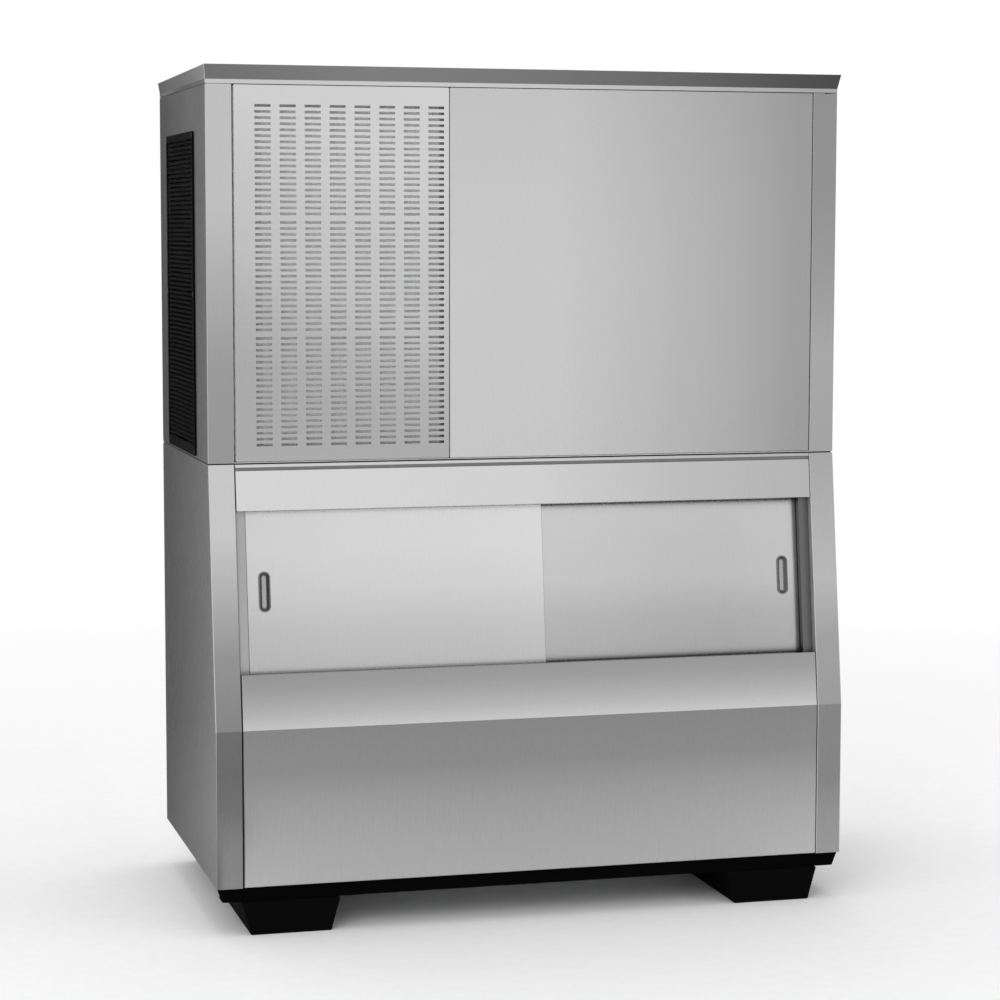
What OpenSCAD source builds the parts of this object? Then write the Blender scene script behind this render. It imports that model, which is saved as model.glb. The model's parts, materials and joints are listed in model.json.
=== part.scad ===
// Cube ice machine on a slope-fronted storage bin with two sliding doors.
// X runs across the front, Y towards the back, Z up. The origin is on the floor,
// under the middle of the cabinet's footprint.

/* [Cabinet] */
// Width over the two side panels
cabinet_w = 1250; // [1240:5:1300]
// Depth of the upper section
head_d = 585; // [580:5:640]
// How far the bin's knee stands ahead of the upper section
bin_bulge = 65; // [50:5:80]
// Height of the bin, from its base to the seam under the head
bin_h = 793.5; // [780:0.5:840]
// Height of the knee above the bin's base
knee_h = 298; // [280:1:310]
// Height of the head's side panels
head_h = 704; // [700:1:760]
// Thickness of the outer sheet metal
sheet_t = 1.5; // [1:0.1:1.8]
// Width of the side panels' flange round the front
stripe_w = 50; // [46:1:56]
// Depth of the folded edges of the front panels
fold_d = 18; // [14:1:18]
// Gap between two panels of the front
seam_w = 1; // [0.5:0.1:1.5]
// Gap between the left flange and the vent panel
vent_seam_w = 3; // [1:0.5:4]
// Thickness of the gasket between bin and head
gasket_t = 2.5; // [2:0.5:4]
// Width of the gasket
gasket_w = 24; // [16:1:30]
// Inset of the gasket from the outer faces
gasket_inset = 6; // [3:1:10]

/* [Top cover] */
// Height of the upright lip of the cover
cover_lip_h = 8; // [6:1:14]
// Height of the flared band
flare_h = 26.5; // [20:0.5:36]
// Forward reach of the flare
flare_front = 11; // [4:1:16]
// Sideways reach of the flare
flare_side = 3.5; // [3.5:0.5:8]
// Thickness of the gasket under the cover
cover_gasket_t = 1; // [0.5:0.5:2]

/* [Base] */
// Height of the runners
skid_h = 64; // [58:1:90]
// Width of a runner at its top
skid_w = 190; // [170:5:200]
// Width of a runner's sole
skid_sole_w = 155; // [120:5:160]
// Distance from the cabinet's side to a runner's centre line
skid_inset = 142; // [130:1:160]
// Distance from the knee and from the back to a runner's ends
skid_end_gap = 4; // [2:1:40]
// Height of the base frame's bars
bar_h = 28; // [25:1:40]
// Depth of the cross bars
bar_d = 40; // [30:1:60]
// Wall of the bars
bar_wall = 3; // [2:0.5:4]
// Inset of the cross bars from the front and the back
bar_front_inset = 11; // [8:1:20]
// Inset of the front bar's ends from the sides
bar_side_inset = 1; // [0:1:20]
// How far the front bar's ends slant inwards over their height
bar_end_slant = 11; // [0:1:20]
// Width of the rails over the runners
rail_w = 60; // [50:1:80]
// Diameter of the runner bolts
bolt_d = 10; // [8:1:12]
// Distance between the two bolts of a runner
bolt_spacing = 440; // [300:10:480]
// Height of the bolt heads' seats above the floor
bolt_seat_h = 30; // [20:1:40]

/* [Bin] */
// Insulation between the outer sheets and the liner at the sides and the back
insulation_t = 50; // [47:1:60]
// Insulation under the liner
insulation_floor_t = 50; // [40:1:70]
// Wall of the liner
liner_t = 3; // [2:0.5:4]
// Height of the sill above the knee
sill_h = 105; // [95:1:120]
// Height of the fascia over the door opening, measured up the slope
fascia_h = 76.25; // [70:0.05:100]
// Height of the base pan's side flanges
pan_flange_h = 20; // [15:1:30]
// Height of the bright rail at the top of the bin
top_rail_h = 6; // [5:0.5:10]
// Groove between the fascia and the top rail
groove_h = 5.5; // [3:0.5:7]
// How far the rail's lip stands back in the groove
rail_step = 4; // [2:0.5:6]
// Bore radius of the bin's drain
bin_drain_bore_r = 12; // [8:0.5:14]
// Outer radius of the bin's drain
bin_drain_r = 16; // [15:0.5:18]
// Reach of the drain below the bin's base
bin_drain_drop = 30; // [26:1:40]
// Distance from the liner's back to the drain's centre
bin_drain_back = 70; // [50:1:100]
// Width of the drain's collar inside the bin
drain_collar_w = 22; // [15:1:30]
// Thickness of that collar
drain_collar_t = 3; // [2:0.5:5]
// Height of the drain's nut
drain_nut_h = 10; // [8:1:14]
// Width of the drain's nut round the pipe
drain_nut_w = 9; // [7:0.5:12]

/* [Doors] */
// Width of the jamb posts beside the door opening
jamb_w = 20; // [16:1:40]
// Overlap of the two closed doors
door_overlap = 50; // [40:1:60]
// Thickness of a door
door_t = 11; // [10:0.5:12]
// Thickness of the door's outer skin
door_skin_t = 1; // [0.8:0.1:1.2]
// Rib between the doors, in both tracks
track_rib_t = 1.2; // [1:0.1:1.5]
// Play of a door between two ribs
door_play = 0.5; // [0.3:0.1:0.6]
// Thickness of the tracks' floors
track_floor_t = 3; // [2:0.5:4]
// How far a door reaches below the sill's edge
door_lap_low = 10; // [8:1:14]
// How far a door reaches above the opening
door_lap_high = 12; // [8:1:14]
// Height of the glides under a door
glide_h = 5.7; // [4:0.1:8]
// Length of a glide
glide_l = 30; // [20:1:40]
// Width of a glide
glide_w = 6; // [4:0.5:7]
// Distance from a door's edge to its glide
glide_inset = 45; // [30:1:80]
// Room above a door to lift it out of its lower track
lift_room = 16; // [12:1:18]
// Length of a finger pull
pull_l = 77; // [60:1:100]
// Width of a finger pull
pull_w = 23; // [20:1:30]
// Distance from a door's outer edge to its pull's centre
pull_inset = 33; // [25:1:45]
// Width of a pull's rim
pull_rim = 3; // [2:0.5:4]
// Height of the rim proud of the door
pull_proud = 1; // [0.5:0.1:1.2]
// Depth of a pull's cup
pull_depth = 8; // [6:0.5:8]

/* [Head panels] */
// Depth of the front panels' folded edges
tray_d = 20; // [14:1:24]
// Width of the vent panel
vent_w = 412; // [400:1:440]
// Inset of the rear panel, which leaves room for the connections
rear_inset = 20; // [18:1:30]
// Width of the inner frame's angles
angle_w = 25; // [20:1:30]
// Thickness of the inner frame's angles
angle_t = 2; // [1.5:0.5:3]
// Height of the side flanges of the head's base tray
base_flange_h = 22; // [18:1:30]
// Distance from the inner frame to the opening that the ice falls through
drop_front_gap = 15; // [12:1:20]
// Distance from that opening to the water trough
drop_back_gap = 10; // [9:1:14]
// Height of the rim round that opening
drop_rim_h = 8; // [6:1:12]

/* [Vent slots] */
// Length of a slot
slot_w = 30.5; // [20:0.5:36]
// Height of a slot
slot_h = 5; // [3:0.5:7]
// Distance between two columns
slot_col_pitch = 47.4; // [42:0.1:48]
// Groups in a column
slot_groups = 3; // [1:1:3]
// Distance between two rows
slot_row_pitch = 11.1; // [9:0.1:11.5]
// Distance between the last row of a group and the first of the next
slot_group_pitch = 16; // [12:0.5:18]
// Distance from the panel's left edge to the first column
slot_left = 54.5; // [40:0.5:60]
// Distance from the panel's top edge to the first row
slot_top = 39; // [30:0.5:50]
// Least plain strip right of the last column
slot_right = 8; // [5:0.5:20]
// Least plain strip under the last row
slot_bottom = 20; // [10:1:40]

/* [Side grille] */
// Distance from the upper section's front to the grille
grille_y = 140; // [120:1:160]
// Distance from the grille to the cabinet's back
grille_back = 103; // [70:1:110]
// Distance from the head's base to the grille
grille_z = 3; // [2:1:12]
// Distance from the grille to the head's top
grille_top = 82; // [60:1:120]
// Width of the grille's frame
grille_frame = 14; // [12:1:20]
// Height of the grille proud of the side panel
grille_proud = 3; // [2:0.5:3]
// Distance between two louvres
louvre_pitch = 8.8; // [8:0.1:14]
// Thickness of a louvre
louvre_t = 1.6; // [1:0.1:2]
// Radius of the screw heads
screw_head_r = 4.5; // [3.5:0.1:5]
// Radius of the screw shanks
screw_r = 2; // [1.5:0.1:2.5]
// Height of the screw heads
screw_head_h = 0.5; // [0.5:0.1:0.5]

/* [Refrigeration] */
// Gap between the left side panel and the condenser's fins
coil_left_gap = 39; // [34:1:60]
// Gap between the fins and the divider
coil_right_gap = 35; // [34:1:60]
// Gap between the frame's front angles and the fins
coil_front_gap = 10; // [8:1:20]
// Height of the fins' lower edge above the base tray
coil_foot = 70; // [55:1:100]
// Gap between the fins and the top of the frame
coil_top_gap = 51; // [40:1:100]
// Depth of the condenser
coil_d = 55; // [40:1:60]
// Distance between two fins
fin_pitch = 8; // [6:0.5:12]
// Thickness of a fin
fin_t = 1.2; // [1:0.1:2]
// Thickness of the condenser's end plates
coil_plate_t = 2; // [1.5:0.5:3]
// Distance from the fins' lower edge to the first tube
coil_tube_edge = 15; // [12:1:25]
// Distance between two rows of condenser tube
coil_row_pitch = 36; // [30:1:50]
// Radius of the refrigerant tubes
tube_r = 5; // [4:0.5:6]
// Radius of the fan
fan_r = 165; // [140:1:175]
// Blades of the fan
fan_blades = 5; // [3:1:6]
// Angle that the tip of a blade spans
blade_span = 44; // [30:2:50]
// Tilt of a blade
blade_tilt = 16; // [10:1:18]
// Thickness of a blade
blade_t = 2.5; // [1.5:0.5:4]
// Radius of the fan's hub
hub_r = 26; // [22:1:30]
// Length of the fan's hub
hub_l = 20; // [14:1:24]
// Gap between the blades' tips and the shroud
fan_gap = 10; // [6:1:15]
// Wall of the shroud's ring
shroud_wall = 4; // [2:0.5:6]
// Depth of the shroud
shroud_d = 46; // [44:1:60]
// Width of the shroud's cross arms
arm_w = 16; // [12:1:24]
// Thickness of the cross arms
arm_t = 6; // [4:0.5:8]
// Wall of the socket that holds the fan motor
socket_wall = 6; // [4:0.5:8]
// Height of the socket's lip on the cross arms
socket_lip = 1; // [0.5:0.5:1.5]
// Radius of the fan's shaft
fan_shaft_r = 4; // [3:0.5:5]
// Radius of the fan motor
fan_motor_r = 40; // [34:1:46]
// Length of the fan motor
fan_motor_l = 70; // [50:1:80]
// Distance from the shroud to the fan motor
motor_gap = 12; // [8:1:20]
// How much smaller the motor's front collar is than the motor, in radius
spigot_inset = 12; // [8:1:14]
// Length of that collar, which sits in the shroud's socket
spigot_l = 14; // [10:1:16]
// Thickness of the motor's rear wall
motor_end_t = 10; // [6:1:12]
// Room behind the end of the fan's shaft
shaft_end_gap = 4; // [2:1:6]
// Radius of the compressor's shell
compressor_r = 100; // [80:1:110]
// Height of the compressor's shell
compressor_h = 270; // [220:1:300]
// Wall that stands for the compressor's shell and what it holds
compressor_wall = 20; // [15:1:30]
// Distance from the rear panel to the compressor's axis
compressor_back = 170; // [160:1:180]
// Distance from the fan's axis to the compressor's, to the left
compressor_left = 10; // [5:1:20]
// Gap between the divider and the pipes that climb beside it
pipe_gap = 9; // [7:1:12]
// Thickness of the compressor's foot plate
foot_t = 5; // [4:0.5:6]
// Height of the compressor's rubber mounts
mount_h = 15; // [12:1:20]
// Radius of the filter drier
drier_r = 20; // [16:1:24]
// Length of the filter drier
drier_l = 110; // [90:1:120]
// Distance from the rear panel to the drier
drier_back = 285; // [275:1:290]
// Gap between the drier and the divider
drier_gap = 42; // [36:1:46]
// Height of the drier above the head's base
drier_rise = 60; // [50:1:70]
// Distance from the rear panel to the hot gas valve
gas_valve_back = 70; // [60:1:75]
// Height of that valve above the compressor
gas_valve_rise = 30; // [25:1:34]

/* [Control box] */
// Width of the control box
control_w = 200; // [180:1:220]
// Depth of the control box
control_d = 120; // [100:1:130]
// Distance from the rear panel to the control box
control_back = 120; // [115:1:130]
// Height of the control box above the compressor's shell
control_gap = 90; // [80:1:110]
// Gap between the control box and the top of the frame
control_top_gap = 50; // [40:1:80]
// Distance from the box's left and top edges to the rocker switch
rocker_inset = 50; // [40:1:70]
// Radius of the rocker switch's drum
rocker_r = 11; // [9:0.5:12]
// Width of the rocker
rocker_w = 18; // [14:1:22]
// Depth of the rocker's pivot behind the cover
rocker_depth = 4; // [3.5:0.5:5]
// Radius of the rocker's pivot
rocker_pin_r = 1.5; // [1:0.25:2]

/* [Ice making] */
// Side of one ice cell
cell_pitch = 29; // [27:0.5:29]
// Depth of the cells
cell_d = 20; // [16:1:24]
// Thickness of the cell walls
cell_wall = 1; // [0.8:0.1:1.5]
// Thickness of the evaporator's plate
plate_t = 1.5; // [1:0.1:2]
// Height of the evaporators' lower edge above the head's base
evaporator_z = 212; // [205:1:220]
// Distance from the upper section's front to the evaporators
evaporator_y = 260; // [250:1:270]
// Gap between an evaporator's edge and the bracket beside it
bracket_gap = 3; // [2:0.5:5]
// Gap between the two brackets that stand side by side
bracket_room = 4; // [2:0.5:10]
// Distance from an evaporator's edge to the ends of its straight tubes
tube_end = 40; // [38:1:45]
// Distance from the tubes' ends to the pipe stubs
stub_inset = 15; // [12:1:20]
// Rows of tube on an evaporator
tube_rows = 7; // [5:2:9]
// Thickness of the bulkhead that carries them
bulkhead_t = 5; // [4:0.5:8]
// Gap between the evaporators' plates and the bulkhead
bulkhead_gap = 23.5; // [18:0.5:26]
// Thickness of the water curtains
curtain_t = 3; // [2:0.5:4]
// Gap between the cells and the curtain
curtain_gap = 14.5; // [12:0.5:18]
// Radius of a curtain's pins
pin_r = 4; // [3:0.5:5]
// Thickness of the curtain brackets
bracket_t = 4; // [3:0.5:4.5]
// Height of the brackets above the curtains' pins
bracket_top = 12; // [10:1:12]
// Gap between the distributor and the curtains' pins
pivot_gap = 14; // [12:0.5:14]
// Outer radius of the water distributor
distributor_r = 11; // [9:0.5:12]
// Depth of the water trough
trough_h = 95; // [85:1:100]
// Gap between the evaporators and the trough under them
trough_drop = 20; // [15:1:25]
// Width of the pump's bay in the trough, beside the evaporators
pump_bay = 88; // [84:1:95]
// Least gap between the trough and the divider
trough_gap = 20; // [15:1:25]
// Wall of the water trough
trough_wall = 3; // [2:0.5:4]
// Radius of the pump's motor
pump_motor_r = 30; // [26:1:31]
// Radius of the impeller
impeller_r = 18; // [14:1:20]
// Radius of the pump's shaft
pump_shaft_r = 4; // [3:0.5:5]
// Height of the pump's motor
pump_motor_h = 70; // [60:1:80]
// Height of the pump's volute
volute_h = 30; // [26:1:34]
// Wall of the volute
volute_wall = 4; // [3:0.5:5]
// Vanes of the impeller
impeller_vanes = 6; // [4:1:8]
// Radius of the float
float_r = 16; // [12:1:18]
// Length of the float's arm
float_arm_l = 85; // [70:1:95]
// Height of the float
float_h = 34; // [28:1:40]
// How far the float hangs below its pivot
float_drop = 25; // [20:1:30]
// Outer radius of the water hoses
hose_r = 6; // [5:0.5:7]

/* [Services] */
// Outer radius of the water inlet's thread
inlet_r = 13.2; // [12:0.1:14]
// Outer radius of the water drain's spigot
drain_r = 11; // [9:0.5:13]
// Bore radius of the cable gland
gland_bore_r = 5; // [3:0.5:7]
// Length of the thread and of the spigot outside the rear panel
connection_l = 18; // [16:1:19]
// Height of the nuts on the rear panel
nut_h = 3; // [2:0.5:5]
// Width of the nuts round their pipes
nut_w = 6; // [5:0.5:8]
// Distance from the left evaporator's middle to the water inlet
inlet_x = 130; // [110:1:150]
// Distance from the right evaporator's middle to the water drain
outlet_x = 110; // [100:1:120]
// Height of the water inlet above the head's base
inlet_z = 55; // [50:1:65]
// Height of the water drain above the head's base
outlet_z = 45; // [35:1:50]
// Distance from the divider to the cable gland
gland_x = 130; // [100:1:160]
// Distance from the head's top to the cable gland
gland_top = 90; // [60:1:100]

/* [Clearances] */
// Gap between parts that seat on each other
fit = 0.3; // [0.2:0.05:0.4]
// Radial gap of a shaft or a pin in its bearing
running = 0.05; // [0.02:0.01:0.1]
// Radial gap round a screw, a pipe or a bolt
hole_play = 0.5; // [0.3:0.1:1]

/* [Hidden] */
$fn = 48;
half_w = cabinet_w / 2;
total_d = head_d + bin_bulge;
y_back = total_d / 2;
y_face = y_back - head_d;
y_knee = y_back - total_d;
z_bin = skid_h + bar_h;
z_knee = z_bin + knee_h;
z_seam = z_bin + bin_h;
z_head = z_seam + gasket_t;
z_head_top = z_head + head_h;
z_cover = z_head_top + cover_gasket_t;
z_flare = z_cover + cover_lip_h;
z_top = z_flare + flare_h;

// The bin's front slopes back from the knee to the seam
slope_a = atan2(bin_bulge, bin_h - knee_h);
slope_l = norm([bin_bulge, bin_h - knee_h]);
inner_x = half_w - stripe_w;          // inner edge of the front flanges
plate_x = half_w - sheet_t;           // inner face of the side panels
panel_x = inner_x - seam_w;           // outer edge of the panels between the flanges

// Door and track places: depth behind the slope, and distance up it
track_y = fold_d + fit;
door_a_y = track_y + track_rib_t + door_play;
door_b_y = door_a_y + door_t + 2 * door_play + track_rib_t;
track_y1 = door_b_y + door_t + door_play + track_rib_t;
fascia_s1 = (z_seam - top_rail_h - groove_h - z_knee) / cos(slope_a);
sill_s = sill_h / cos(slope_a);
open_s = fascia_s1 - fascia_h;
door_s0 = sill_s - door_lap_low;
door_s1 = open_s + door_lap_high;
track_low_s = door_s0 - glide_h - fit - track_floor_t;
track_high_s = door_s1 + lift_room + track_floor_t;
open_x = inner_x - jamb_w;            // half the clear width between the jambs
door_w = open_x + door_overlap / 2;
liner_y = track_y1 + fit;             // depth of the liner behind the front
liner_z = z_bin + insulation_floor_t;
liner_back = y_back - insulation_t;
liner_x = half_w - insulation_t;
bin_drain_at = [0, liner_back - bin_drain_back];

// Runners
skid_x = half_w - skid_inset;
skid_y0 = y_knee + skid_end_gap;
skid_y1 = y_back - skid_end_gap;
bar_x = half_w - bar_side_inset;      // half the length of the front bar, at its top
rear_bar_x = skid_x + rail_w;         // half the length of the rear bar
bar_y0 = y_knee + bar_front_inset;
bar_y1 = y_back - bar_front_inset;
bolt_head_h = 0.64 * bolt_d;
bolt_head_r = 0.98 * bolt_d;

// Head
panel_z = z_head + sheet_t + fit;
vent_x0 = -inner_x + vent_seam_w;
vent_x1 = vent_x0 + vent_w;
frame_y = y_face + tray_d + fit;
frame_y1 = frame_y + angle_w;
frame_z0 = z_head + sheet_t;
frame_z1 = z_head_top - sheet_t;
rear_y = y_back - rear_inset;
divider_x = vent_x1 + seam_w / 2 + angle_w / 2 - 2.5;
grille_y0 = y_face + grille_y;
grille_z0 = z_head + grille_z;
grille_w = head_d - grille_y - grille_back;
grille_h = head_h - grille_z - grille_top;

// Slots: as many columns and rows as the vent panel has room for
slot_cols = 1 + floor((vent_w - slot_left - slot_w / 2 - slot_right) / slot_col_pitch);
slot_room = z_head_top - panel_z - slot_top - slot_h / 2 - slot_bottom;
slot_group = 1 + floor((slot_room - (slot_groups - 1) * slot_group_pitch) / (slot_groups * slot_row_pitch));

// Condenser, fan and compressor, behind the vent panel
coil_x0 = -plate_x + coil_left_gap;
coil_x1 = divider_x - coil_right_gap;
coil_w = coil_x1 - coil_x0;
coil_y0 = frame_y1 + coil_front_gap;
coil_y1 = coil_y0 + coil_d;
coil_z0 = frame_z0 + coil_foot;
coil_h = frame_z1 - coil_top_gap - coil_z0;
fan_x = (coil_x0 + coil_x1) / 2;
fan_z = coil_z0 + coil_h / 2;
fan_motor_y = coil_y1 + shroud_d + motor_gap;
spigot_r = fan_motor_r - spigot_inset;
motor_y1 = fan_motor_y + fan_motor_l;
fan_y = coil_y1 + shroud_d / 2;
coil_rows = 2 * floor((coil_h - 2 * coil_tube_edge) / coil_row_pitch / 2) + 1;
coil_tube_z = coil_z0 + coil_tube_edge;
compressor_at = [fan_x - compressor_left, rear_y - compressor_back];
pipe_x = divider_x - tube_r - pipe_gap;
shell_z = frame_z0 + mount_h + foot_t + 1;
hot_gas_at = [pipe_x - tube_r, rear_y - gas_valve_back, shell_z + compressor_h + gas_valve_rise];
drier_at = [divider_x - drier_r - drier_gap, rear_y - drier_back];
drier_z = frame_z0 + drier_rise;

// Evaporators, curtains and water, right of the divider: as many cells as there is room for
ice_room = liner_x - liner_t - divider_x - sheet_t - pump_bay - trough_gap;
bracket_rooms = 4 * bracket_gap + 2 * bracket_t + bracket_room;
cell_cols = floor((ice_room - bracket_rooms) / 2 / cell_pitch);
evap_z0 = z_head + evaporator_z;
bulkhead_z1 = frame_z1 - angle_w - 8;
pivot_rise = 2 * distributor_r + pivot_gap + 3;
cell_rows = floor((bulkhead_z1 - bracket_top - pivot_rise - evap_z0) / cell_pitch);
evaporator_w = cell_cols * cell_pitch;
evaporator_h = cell_rows * cell_pitch;
tube_reach = evaporator_w / 2 - tube_end;
stub_x = tube_reach - stub_inset;
evap_y = y_face + evaporator_y;
evap_back = evap_y + cell_d + plate_t;
bulkhead_y = evap_back + bulkhead_gap;
bulkhead_y1 = bulkhead_y + bulkhead_t;
evap_z1 = evap_z0 + evaporator_h;
bracket_off = evaporator_w / 2 + bracket_gap;
evap_x2 = liner_x - liner_t - bracket_off;   // the ice falls inside the liner
evap_x1 = evap_x2 - 2 * (bracket_off + bracket_t) - bracket_room;
evap_xs = [evap_x1, evap_x2];
distributor_z = evap_z1 + distributor_r + 3;
distributor_y = evap_y + 9;
pivot_y = evap_y - curtain_gap - curtain_t / 2;
pivot_z = distributor_z + distributor_r + pivot_gap;
curtain_x = bracket_off - fit;
trough_y0 = pivot_y - 8;
trough_z1 = evap_z0 - trough_drop;
trough_z0 = trough_z1 - trough_h;
trough_x0 = evap_x1 - bracket_off - pump_bay;
trough_x1 = evap_x2 + bracket_off;
drop_x0 = evap_x1 - bracket_off;
drop_y0 = frame_y1 + drop_front_gap;
drop_y1 = trough_y0 - drop_back_gap;
pump_at = [trough_x0 + pump_motor_r + 10, (trough_y0 + bulkhead_y) / 2];
volute_z = trough_z0 + trough_wall;
impeller_z = volute_z + volute_wall + 4;
pump_motor_z = trough_z1 + 14;
riser_x = pump_at.x + pump_motor_r + hose_r + 2;
riser_end = riser_x + hose_r + 2;      // where the riser meets the distributor
valve_at = [evap_x1 - bracket_off + 22, evap_back + 3, trough_z1 + 10];
suction_z = evap_z1 - 30;
liquid_z = evap_z0 + 30;
stub_y = bulkhead_y1 + 12;

// Connections on the rear panel
inlet_at = [evap_x1 + inlet_x, z_head + inlet_z];
outlet_at = [evap_x2 + outlet_x, z_head + outlet_z];
gland_at = [divider_x - gland_x, z_head_top - gland_top];
drain_pipe_r = drain_r - 1.5;

// Control box on the divider
box_x0 = divider_x - control_w;
box_y1 = rear_y - control_back;
box_y0 = box_y1 - control_d;
box_z0 = shell_z + compressor_h + control_gap;
box_z1 = frame_z1 - control_top_gap;
rocker_at = [box_x0 + rocker_inset, box_y0 + rocker_depth, box_z1 - rocker_inset];
cheek_t = 4;                           // the cover's two lugs that hold the rocker
line_y = box_y1 + 15;

steel = [0.72, 0.72, 0.73];
steel_dark = [0.55, 0.55, 0.56];
zinc = [0.66, 0.68, 0.7];
black = [0.1, 0.1, 0.11];
copper = [0.72, 0.45, 0.3];
white = [0.9, 0.91, 0.92];
grey = [0.45, 0.46, 0.48];

// Helpers

// A block between two corners
module span(x0, x1, y0, y1, z0, z1) {
  translate([x0, y0, z0]) cube([x1 - x0, y1 - y0, z1 - z0]);
}

// An outline of Y and Z, drawn out along X
module across(x0, x1) {
  translate([x0, 0, 0]) rotate([90, 0, 90]) linear_extrude(x1 - x0) children();
}

// An outline of X and Z, drawn out along Y
module inwards(y0, y1) {
  translate([0, y1, 0]) rotate([90, 0, 0]) linear_extrude(y1 - y0) children();
}

module rod_x(x0, x1, y, z, r) {
  translate([x0, y, z]) rotate([0, 90, 0]) cylinder(h = x1 - x0, r = r);
}

module rod_y(y0, y1, x, z, r) {
  translate([x, y0, z]) rotate([-90, 0, 0]) cylinder(h = y1 - y0, r = r);
}

module rod_z(z0, z1, x, y, r) {
  translate([x, y, z0]) cylinder(h = z1 - z0, r = r);
}

// A six-sided nut, standing at a point
module hex_nut(at, h, r) {
  translate(at) cylinder(h = h, r = r, $fn = 6);
}

// The same with its axis along Y, from the rear panel outwards or from another depth
module hex_nut_y(x, y, z, h, r) {
  translate([x, y, z]) rotate([-90, 0, 0]) cylinder(h = h, r = r, $fn = 6);
}

// The same thing on both sides
module both_sides() {
  children();
  mirror([1, 0, 0]) children();
}

// Local frame of the slope: X across, Y into the bin, Z up the slope from the knee
module on_slope() {
  translate([0, y_knee, z_knee]) rotate([-slope_a, 0, 0]) children();
}

// A flat rectangular ring
module ring(x0, x1, y0, y1, w, z0, z1) {
  difference() {
    span(x0, x1, y0, y1, z0, z1);
    span(x0 + w, x1 - w, y0 + w, y1 - w, z0 - 1, z1 + 1);
  }
}

// Points of the bin's front at a depth behind its skin
function knee_at(d) = [y_knee + d, z_knee - d * tan(slope_a / 2)];
function slope_at_z(z, d) = [y_knee + (z - z_knee) * tan(slope_a) + d / cos(slope_a), z];
function slope_at_s(s, d) = [
  y_knee + s * sin(slope_a) + d * cos(slope_a),
  z_knee + s * cos(slope_a) - d * sin(slope_a)
];

// A band of the front between two depths, from height z0 round the knee to height z1
module front_band(x0, x1, d0, d1, z0, z1) {
  across(x0, x1) polygon([
    [y_knee + d0, z0], knee_at(d0), slope_at_z(z1, d0),
    slope_at_z(z1, d1), knee_at(d1), [y_knee + d1, z0]
  ]);
}

// The same, but ending square to the slope at distance s1 up it
module sill_band(x0, x1, d0, d1, z0, s1) {
  across(x0, x1) polygon([
    [y_knee + d0, z0], knee_at(d0), slope_at_s(s1, d0),
    slope_at_s(s1, d1), knee_at(d1), [y_knee + d1, z0]
  ]);
}

// A pipe through a list of points, with a soldered elbow at each bend
module route(points, r) {
  for (i = [0 : len(points) - 2]) {
    leg = points[i + 1] - points[i];
    translate(points[i])
      rotate([0, acos(leg.z / norm(leg)), atan2(leg.y, leg.x)])
        cylinder(h = norm(leg), r = r);
  }
  for (i = [1 : 1 : len(points) - 2]) translate(points[i]) sphere(r = 1.15 * r);
}

// A long hole with round ends, upright
module oblong(l, w) {
  square([w, l - w], center = true);
  for (side = [-1, 1]) translate([0, side * (l - w) / 2]) circle(d = w);
}

// A steel angle along Z, with its corner at the origin and its legs towards sx and sy
module angle_z(l, sx, sy) {
  translate([sx > 0 ? 0 : -angle_w, sy > 0 ? 0 : -angle_t, 0]) cube([angle_w, angle_t, l]);
  translate([sx > 0 ? 0 : -angle_t, sy > 0 ? 0 : -angle_w, 0]) cube([angle_t, angle_w, l]);
}

// Base

// A channel between two corners, open towards side (-1 or 1) along X or Y
module channel_y(x0, x1, y0, y1, side) {
  difference() {
    span(x0, x1, y0, y1, skid_h, z_bin);
    span(side > 0 ? x0 + bar_wall : x0 - 1, side > 0 ? x1 + 1 : x1 - bar_wall,
      y0 - 1, y1 + 1, skid_h + bar_wall, z_bin - bar_wall);
  }
}

module channel_x(x0, x1, y0, y1, side) {
  difference() {
    span(x0, x1, y0, y1, skid_h, z_bin);
    span(x0 - 1, x1 + 1, side > 0 ? y0 + bar_wall : y0 - 1,
      side > 0 ? y1 + 1 : y1 - bar_wall, skid_h + bar_wall, z_bin - bar_wall);
  }
}

// The bar under the front, whose ends slant inwards from its top to its foot
module front_bar() {
  slant = bar_end_slant / bar_h;
  foot_x = bar_x - bar_end_slant - slant;
  intersection() {
    channel_x(-bar_x - 1, bar_x + 1, bar_y0, bar_y0 + bar_d, 1);
    inwards(bar_y0 - 1, bar_y0 + bar_d + 1) polygon([
      [-foot_x, skid_h - 1], [foot_x, skid_h - 1],
      [bar_x + slant, z_bin + 1], [-bar_x - slant, z_bin + 1]
    ]);
  }
}

// The bolts of both runners
module at_bolts() {
  for (x = [-skid_x, skid_x], y = [-bolt_spacing / 2, bolt_spacing / 2])
    translate([x, y, 0]) children();
}

module base_frame() color(black) {
  difference() {
    union() {
      front_bar();
      channel_x(-rear_bar_x, rear_bar_x, bar_y1 - bar_d, bar_y1, -1);
      both_sides()
        channel_y(skid_x - rail_w / 2, skid_x + rail_w / 2, bar_y0 + bar_d, bar_y1 - bar_d, -1);
    }
    at_bolts() cylinder(h = skid_h + 2 * bar_wall, r = bolt_d / 2 + hole_play);
  }
}

module skids() color(black) {
  difference() {
    for (x = [-skid_x, skid_x]) translate([x, 0, 0]) inwards(skid_y0, skid_y1) polygon([
      [-skid_sole_w / 2, 0], [skid_sole_w / 2, 0], [skid_w / 2, skid_h], [-skid_w / 2, skid_h]
    ]);
    at_bolts() {
      translate([0, 0, -1]) cylinder(h = skid_h + 2, r = bolt_d / 2 + hole_play);
      translate([0, 0, -1]) cylinder(h = bolt_seat_h + 1, r = bolt_head_r + 3);
    }
  }
}

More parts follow.
